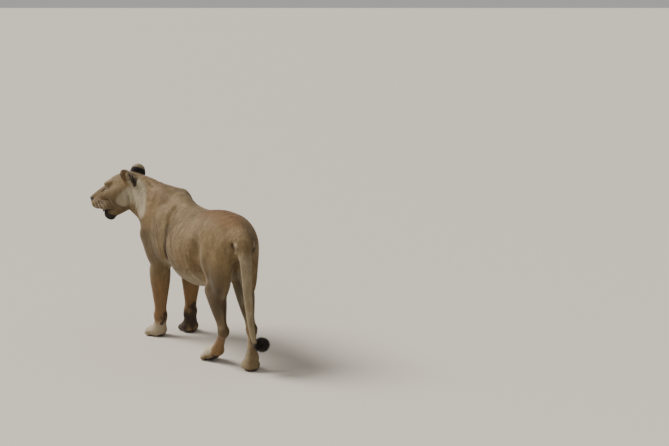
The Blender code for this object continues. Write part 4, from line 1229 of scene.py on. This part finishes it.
# %% Tail tuft
tuft_low, tuft_high = (np.array(v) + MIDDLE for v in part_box("tail_tuft"))
tuft_heart, tuft_half = (tuft_low + tuft_high) / 2, (tuft_high - tuft_low) / 2
TUFT_LOCKS = 2600
tuft_root = TAIL_LINE[-2]
tuft_way = unit(tuft_heart - tuft_root + vec(-0.006, 0, 0.010))
ball = unit(rng.normal(size=(TUFT_LOCKS, 3)) + tuft_way * 0.55)
core = tuft_root + (tuft_heart - tuft_root) * (0.25 + 0.85 * rng.random((TUFT_LOCKS, 1)))
start = core + ball * 0.006
reach = tuft_heart + unit(ball + tuft_way * 0.25) * tuft_half * (0.84 + 0.20 * rng.random((TUFT_LOCKS, 1)))
swirl = np.cross(tuft_way, ball) * 0.012 * rng.normal(0, 1, (TUFT_LOCKS, 1)) + tuft_way * 0.006
straight = reach - start - swirl
chart = 0.01 + 0.98 * np.stack([np.arctan2(ball @ X, ball @ Z) / (2 * math.pi) + 0.5,
                                np.arccos(np.clip(ball @ tuft_way, -1, 1)) / math.pi], 1)
tuft = long_hair("coat_tail_tuft", "black_hair", start, straight, swirl, np.linalg.norm(straight, axis=1),
                 0.0012 + 0.0010 * rng.random(TUFT_LOCKS), chart, (0, 0, 0, 1, 0))
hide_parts("tail_tuft")

# %% Ear fringes
for side, word in SIDES.items():
    root, along, opening, across = ear_directions(side)
    count = 420
    turn = rng.uniform(-1.25, 1.25, count)
    rise = rng.random(count)
    edge = np.sign(turn)[:, None]
    rim = root + opening * 0.008 + along * (0.004 + 0.062 * rise)[:, None]
    rim += across * (0.030 - 0.006 * rise)[:, None] * edge
    aim = unit(-across * edge * 0.35 + along * 0.9 + opening * 0.30 + rng.normal(0, 0.22, (count, 3)))
    sizes = rng.uniform(0.010, 0.020, count)
    bend = -across * edge * 0.004 - opening * 0.001
    chart = np.stack([0.05 + 0.4 * rise, 0.5 + 0.4 * turn / 1.25], 1)
    thick = rng.uniform(0.0004, 0.0008, count)
    long_hair(f"coat_ear_fringe_{word}", "pale_coat", rim, aim, bend, sizes, thick, chart, (0.80, 0, 0, 0, 0))

# %% [markdown]
# ## Eyes, whiskers, teeth, tongue and claws
# An eye is a ball turned round its gaze, with the clear front standing a little proud. Each ring keeps
# its angle off the gaze, so that one finish gives pupil, iris and white. Teeth and claws are bent
# cones; the tongue is a flattened length with a groove. All of these are small and sit deep.

# %% Eyes
EYE_ROWS, EYE_SIDES = 22, 32
bow = np.linspace(0.012, math.pi - 0.012, EYE_ROWS)[::-1]  # angle off the gaze, the back first
size = (EYE_RADIUS - 0.0008) * (1 + 0.075 * np.exp(-(bow / 0.42) ** 4))
along = (np.cos(bow) * size)[:, None, None]
out = (np.sin(bow) * size * np.where(bow > 0.5, 0.97, 1.0))[:, None, None]
for side, word in SIDES.items():
    eye, gaze, slit, up = eye_directions(side)
    ring = ring_round(gaze, np.arange(EYE_SIDES) / EYE_SIDES * 2 * math.pi, Z)
    points = (eye + gaze * along + ring * out).reshape(-1, 3)
    values = {"ring": np.repeat(bow, EYE_SIDES)}
    made = piece(f"eye_ball_{word}", points, strips(EYE_ROWS - 1, EYE_SIDES), values)
    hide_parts(f"eye_{word}")
print("eyes of", 2 * EYE_RADIUS * 1000, "mm")

# %% Whiskers
hairs = []  # root, way, length and bend of each
for side in SIDES:
    for row, count in enumerate((3, 4, 4, 3)):
        for k in range(count):
            forward, left = 0.212 - 0.016 * k - 0.002 * row, 0.044 + 0.003 * k
            root = on_head(forward, left * side, -0.030 - 0.010 * row + 0.001 * k)
            aim = unit(ASIDE * side - AHEAD * (0.35 + 0.22 * k) - ABOVE * (0.02 + 0.20 * row))
            size = 0.048 + 0.010 * k + 0.006 * rng.random()
            hairs.append((root, aim, size, -ABOVE * 0.016 - AHEAD * 0.006))
    eye, gaze, slit, up = eye_directions(side)
    for k in range(3):
        aim = unit(up * 0.8 + slit * 0.25 * k + gaze * 0.45)
        hairs.append((by_eye(side, 0.006 * (k - 1), 0.022, 0.013), aim, 0.030, -AHEAD * 0.010))
roots, aims, sizes, bends = (np.array(v) for v in zip(*hairs))
chart = 0.006 + 0.988 * np.stack([(roots @ AHEAD) % 0.1 * 10, (roots @ ASIDE) % 0.1 * 10], 1)
thick = np.full(len(roots), 0.00028)
long_hair("whiskers", "pale_coat", roots, aims, bends, sizes, thick, chart, rings=7, sides=5)


# %% Teeth
def horn(root, aim, bend, size, thick):
    """A bent cone with a round point."""
    return tubes(vec(root), unit(vec(aim)), vec(bend), vec(size), vec(thick), rings=7, sides=10)[:2]


def gather(parts):
    """Several meshes as one."""
    starts = np.cumsum([0] + [len(p) for p, _ in parts[:-1]])
    return np.concatenate([p for p, _ in parts]), np.concatenate([f + s for (_, f), s in zip(parts, starts)])


def three(first, step):
    """Three teeth in a row: the first, and what changes to the next."""
    return vec(*first) + np.arange(3)[:, None] * vec(*step)


TEETH = {  # forward, left, up, lean and bend ahead, length and thickness of canine, incisors and cheek teeth
    "upper": [vec((0.206, 0.0175, -0.070, 0.06, -0.003, 0.018, 0.0042)),
              three((0.2150, 0.0022, -0.074, 0, -0.001, 0.006, 0.0019), (-0.0012, 0.0042, 0, 0, 0, 0.001, 0)),
              three((0.168, 0.029, -0.072, 0, 0.001, 0.011, 0.0052), (-0.018, 0.004, 0, 0, 0, 0.002, 0))],
    "lower": [vec((0.174, 0.0135, -0.014, 0.14, -0.003, 0.018, 0.0040)),
              three((0.1800, 0.00198, -0.012, 0, 0.001, 0.009, 0.0018), (-0.001, 0.00378, 0, 0, 0, 0, 0)),
              three((0.146, 0.026, -0.014, 0, 0.001, 0.014, 0.0052), (-0.018, 0.004, 0, 0, 0, 0, 0))],
}
JAWS = {"upper": (on_head, -ABOVE, AHEAD), "lower": (on_jaw, JAW_ABOVE, JAW_AHEAD)}
for word, (place, bite, ahead) in JAWS.items():
    parts = [horn(place(f, l * side, u), bite + ahead * lean, ahead * bend, size, thick)
             for side in SIDES for f, l, u, lean, bend, size, thick in np.concatenate(TEETH[word])]
    made = piece(f"teeth_{word}", *gather(parts))
    print(made.name, len(parts), "teeth")

# %% Claws
for name, (limb, size) in PAWS.items():
    place, _ = paw_place(limb, size)
    aim = unit(place(1, 0, 0) - place(0, 0, 0)) * 0.9 - Z * 0.25
    parts = [horn(place(reach + 0.0085, left * 1.04, 0.0235), aim, -Z * 0.006 * size, 0.0125 * size,
                  0.0026 * size) for left, reach, _ in TOES]
    piece(f"claws_{name}", *gather(parts))
print("claws on", len(PAWS), "paws")

# %% Tongue
TONGUE_SIDES = 24
TONGUE = vec(  # forward, up, half width and half depth
    (0.060, 0.000, 0.022, 0.009), (0.090, 0.003, 0.025, 0.009), (0.125, 0.004, 0.024, 0.008),
    (0.150, 0.001, 0.018, 0.006), (0.164, -0.003, 0.006, 0.003))
stations = curve_through(TONGUE, 6)
angles = np.arange(TONGUE_SIDES) / TONGUE_SIDES * 2 * math.pi
groove = 0.0030 * np.exp(-(np.cos(angles) / 0.22) ** 2) * (np.sin(angles) > 0)
points = vec(*[on_jaw(f, math.cos(a) * w, u + 0.002 + math.sin(a) * d - g * min(1, w / 0.02))
               for f, u, w, d in stations for a, g in zip(angles, groove)])
tongue = piece("tongue_soft", points, strips(len(stations) - 1, TONGUE_SIDES)[:, ::-1])
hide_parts("tongue")
print("tongue of", len(stations), "rings")

# %% [markdown]
# ## Finishes
# Each finish is a small sum over signals: the marks on the surface, some noise, and what every tuft
# knows of itself. A class wraps a socket so that the sum can be written as one. The same colour sum
# serves skin and coat, so that nothing shows through in another colour.

# %% Signals
class Signal:
    """A socket of a material. Sums of signals add the nodes that work them out."""

    def __init__(self, finish, socket):
        self.finish, self.socket = finish, socket

    def maths(self, operation, *values):
        return self.finish.node("ShaderNodeMath", {"operation": operation}, dict(enumerate(values)))

    def __add__(self, other):
        return self.maths("ADD", self, other)

    def __sub__(self, other):
        return self.maths("SUBTRACT", self, other)

    def __rsub__(self, other):
        return self.maths("SUBTRACT", other, self)

    def __mul__(self, other):
        return self.maths("MULTIPLY", self, other)

    __radd__, __rmul__ = __add__, __mul__

    def between(self, low, high):
        """0 at low and 1 at high, smooth between."""
        settings = {"interpolation_type": "SMOOTHSTEP"}
        return self.finish.node("ShaderNodeMapRange", settings, {0: self, 1: low, 2: high, 3: 0.0, 4: 1.0})


print("signals can be added, subtracted and multiplied")


# %% Finishes
class Finish:
    """A material with a Principled shader, and one way to add any other node."""

    def __init__(self, name, **constants):
        self.material = bpy.data.materials.new(name)
        self.material.use_nodes = True
        self.tree = self.material.node_tree
        self.shader = self.tree.nodes["Principled BSDF"]
        for key, value in constants.items():
            self.shader.inputs[key.replace("_", " ")].default_value = value

    def node(self, kind, settings=None, values=None, output=0):
        made = self.tree.nodes.new(kind)
        for key, value in (settings or {}).items():
            setattr(made, key, value)
        for key, value in (values or {}).items():
            if isinstance(value, Signal):
                self.tree.links.new(value.socket, made.inputs[key])
            else:
                made.inputs[key].default_value = value
        return Signal(self, made.outputs[output])

    def mark(self, name):
        return self.node("ShaderNodeAttribute", {"attribute_name": name}, output="Fac")

    def noise(self, scale, detail=2.0, rough=0.5, stretch=(1, 1, 1)):
        place = self.node("ShaderNodeTexCoord", output="Object")
        place = self.node("ShaderNodeMapping", None, {"Vector": place, "Scale": stretch})
        values = {"Vector": place, "Scale": scale, "Detail": detail, "Roughness": rough}
        return self.node("ShaderNodeTexNoise", None, values)

    def blend(self, share, low, high, kind="MIX"):
        low, high = ((*c, 1.0) if isinstance(c, tuple) else c for c in (low, high))
        settings = {"data_type": "RGBA", "blend_type": kind}
        return self.node("ShaderNodeMix", settings, {0: share, 6: low, 7: high}, output=2)

    def bump(self, height, distance, strength=1.0):
        values = {"Height": height, "Distance": distance, "Strength": strength}
        return self.node("ShaderNodeBump", None, values)

    def feed(self, **signals):
        for key, value in signals.items():
            self.tree.links.new(value.socket, self.shader.inputs[key.replace("_", " ")])
        return self.material


print("finishes can be made")

# %% Coat colours
TAWNY, DEEP_TAWNY, PALE_TAWNY = (0.228, 0.156, 0.074), (0.128, 0.088, 0.040), (0.360, 0.260, 0.138)
TINTS = {"red": (0.210, 0.112, 0.044), "cream": (0.450, 0.385, 0.270),
         "smoky": (0.042, 0.027, 0.016), "black": (0.012, 0.010, 0.010)}
NOSE, MOUTH = (0.016, 0.011, 0.011), (0.050, 0.021, 0.019)


def coat_colour(finish, grain):
    """The colour of hair and skin at a spot. grain lightens or darkens it, about 0.5; on the tufts it also
    holds painted shade towards each root.
    """
    broad = finish.noise(5.0, 3.0)
    patches = finish.noise(26.0, 4.0, 0.6, (1.0, 1.0, 0.50))
    streaks = finish.noise(55.0, 3.0, 0.6, (1.0, 1.0, 0.22))
    colour = finish.blend(broad.between(0.38, 0.66) * 0.75, TAWNY, DEEP_TAWNY)
    colour = finish.blend(patches.between(0.42, 0.75) * 0.55, colour, PALE_TAWNY)
    colour = finish.blend(streaks.between(0.50, 0.80) * 0.45, colour, DEEP_TAWNY)
    for key, tint in TINTS.items():
        edge = finish.mark(key) * (1 + (patches - 0.5) * 1.1)
        colour = finish.blend(edge.between(0.06, 0.94), colour, tint)
    shade = finish.blend(grain, (0.66, 0.64, 0.61), (1.28, 1.29, 1.30))
    return finish.blend(1.0, colour, shade, "MULTIPLY")


print("tints of the marks:", *TINTS)

# %% Skin and coat finishes
skin_finish = Finish("lioness_skin", Roughness=0.72)
hairs = skin_finish.noise(420.0, 2.0, 0.6, (1.0, 0.35, 0.35))
pores = skin_finish.noise(1500.0, 2.0)
bare = skin_finish.mark("bare")
colour = coat_colour(skin_finish, hairs.between(0.25, 0.8))
colour = skin_finish.blend(bare, colour, MOUTH)
colour = skin_finish.blend(bare * skin_finish.mark("black"), colour, NOSE)
height = hairs * (1 - bare) + pores * bare * 0.3
skin_coat = skin_finish.feed(Base_Color=colour, Roughness=0.78 - bare * 0.42,
                             Normal=skin_finish.bump(height, 0.0012, 0.8))

hair_finish = Finish("lioness_coat", Roughness=0.62, Specular_IOR_Level=0.25, Sheen_Weight=0.15)
tip = hair_finish.mark("tip")
# grain: a random tone for each tuft, and painted shade that darkens each tuft towards its root.
grain = hair_finish.mark("shade") * 0.50 + tip * 0.14 + 0.18
hair_coat = hair_finish.feed(Base_Color=coat_colour(hair_finish, grain), Roughness=0.72 - tip * 0.12)

black_finish = Finish("black_brush", Roughness=0.5)
# A random tone for each lock, and painted shade that darkens each lock towards its root.
grain = black_finish.mark("shade") * 0.6 + black_finish.mark("tip") * 0.4
colour = black_finish.blend(grain, (0.006, 0.005, 0.005), (0.045, 0.034, 0.027))
black_coat = black_finish.feed(Base_Color=colour, Roughness=0.62 - black_finish.mark("tip") * 0.15)
print("skin and coat finishes made")

# %% Eye, tooth, tongue, claw and whisker finishes
eye_finish = Finish("lioness_eye", Roughness=0.06, Coat_Weight=1.0, Coat_Roughness=0.02)
ring, streak = eye_finish.mark("ring"), eye_finish.noise(260.0, 3.0)
rays = (ring + streak * 0.16).between(0.22, 0.55)
# The iris and the white carry their own amber and brown, darkened by painted shade of the nearly closed lids.
iris = eye_finish.blend(rays, (0.11, 0.060, 0.016), (0.24, 0.130, 0.034))
colour = eye_finish.blend(ring.between(0.17, 0.21), (0.004, 0.003, 0.003), iris)
colour = eye_finish.blend(ring.between(0.56, 0.64), colour, (0.035, 0.018, 0.010))
colour = eye_finish.blend(ring.between(0.75, 0.95), colour, (0.10, 0.065, 0.050))
eye_coat = eye_finish.feed(Base_Color=colour)

tooth_finish = Finish("tooth_enamel", Roughness=0.25)
stain = tooth_finish.noise(180.0, 3.0)
colour = tooth_finish.blend(stain.between(0.35, 0.75), (0.66, 0.58, 0.42), (0.50, 0.38, 0.22))
tooth_coat = tooth_finish.feed(Base_Color=colour, Roughness=0.22 + stain * 0.2)

tongue_finish = Finish("tongue_skin", Roughness=0.38)
rasp = tongue_finish.noise(900.0, 2.0)
colour = tongue_finish.blend(tongue_finish.noise(60.0), (0.36, 0.12, 0.11), (0.52, 0.22, 0.19))
tongue_coat = tongue_finish.feed(Base_Color=colour, Roughness=0.34 + rasp * 0.3,
                                 Normal=tongue_finish.bump(rasp, 0.0008))

claw_finish = Finish("claw_horn", Roughness=0.3)
grown = claw_finish.noise(240.0, 3.0, 0.5, (0.3, 1, 1))
colour = claw_finish.blend(grown, (0.030, 0.022, 0.018), (0.22, 0.16, 0.11))
claw_coat = claw_finish.feed(Base_Color=colour, Roughness=0.28 + grown * 0.25)

whisker_finish = Finish("whisker_hair", Roughness=0.35)
colour = whisker_finish.blend(whisker_finish.mark("tip"), (0.72, 0.66, 0.55), (0.88, 0.85, 0.80))
whisker_coat = whisker_finish.feed(Base_Color=colour)

COATINGS = {"skin": skin_coat, "coat": hair_coat, "eye": eye_coat, "teeth": tooth_coat, "tongue": tongue_coat,
            "claws": claw_coat, "whiskers": whisker_coat}
dressed = [o for o in bpy.data.objects if o.type == "MESH" and o not in frame["nodes"].values()]
for made in dressed:
    made.data.materials.append(black_coat if made == tuft else COATINGS[made.name.split("_")[0]])
print("finished", len(dressed), "pieces")

# %% [markdown]
# ## Floor, light and camera
# A plain pale floor and broad soft lights show form and colour without drama. The main light is high
# over her left side and a little ahead of her, a fill opens the shadows from behind, and the camera
# stands where a person in an open car would: a little above her, well back on her left rear side.

# %% Floor
floor_mesh = bpy.data.meshes.new("floor")
corners = [(-300, -500, 0), (300, -500, 0), (300, 60, 0), (-300, 60, 0)]
floor_mesh.from_pydata(corners, [], [(0, 1, 2, 3)])
floor_mesh.materials.append(Finish("pale_floor", Roughness=0.85, Base_Color=(0.55, 0.51, 0.45, 1)).material)
add_object("floor", floor_mesh)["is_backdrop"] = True
print("floor laid")


# %% Lights
def aimed(name, data, direction):
    """A light or camera that looks in a direction."""
    made = add_object(name, data)
    made.rotation_euler = Vector(direction).to_track_quat("-Z", "Y").to_euler()
    return made


sun = bpy.data.lights.new("soft_daylight", "SUN")
sun.energy, sun.angle, sun.color = 5.0, math.radians(34), (1.0, 0.96, 0.89)
aimed("soft_daylight", sun, (-0.50, 0.42, -0.76))
fill = bpy.data.lights.new("fill_panel", "AREA")
fill.size, fill.energy, fill.color = 3.0, 40, (1.0, 0.98, 0.95)
fill_at, fill_target = Vector((3.6, 5.0, 2.6)), Vector((0, 0, 0.55))
aimed("fill_panel", fill, fill_target - fill_at).location = fill_at
world = bpy.data.worlds.new("studio")
bpy.context.scene.world = world
world.use_nodes = True
sky = world.node_tree.nodes["Background"]
sky.inputs["Color"].default_value = (1.0, 0.97, 0.93, 1)
sky.inputs["Strength"].default_value = 0.42
print("lights:", *bpy.data.lights.keys())

# %% Camera
tilt = math.radians(9)
camera_data = bpy.data.cameras.new("camera")
camera_data.sensor_width, camera_data.lens, camera_data.clip_end = 36.0, 78.026906, 200.0
camera = aimed("camera", camera_data, (-0.4555 * math.cos(tilt), -0.8902 * math.cos(tilt), -math.sin(tilt)))
camera.location = (2.891, 7.530, 2.0)
bpy.context.scene.camera = camera
print("camera", round(camera.location.length, 2), "m from her feet")

# %% Sizes and finish
low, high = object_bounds()
coats = [len(o.data.polygons) for o in bpy.data.objects if o.name.startswith("coat")]
print("coat triangles", sum(coats), "in", len(coats), "pieces, most", max(coats))
print("built in", round(time.time() - STARTED), "s")
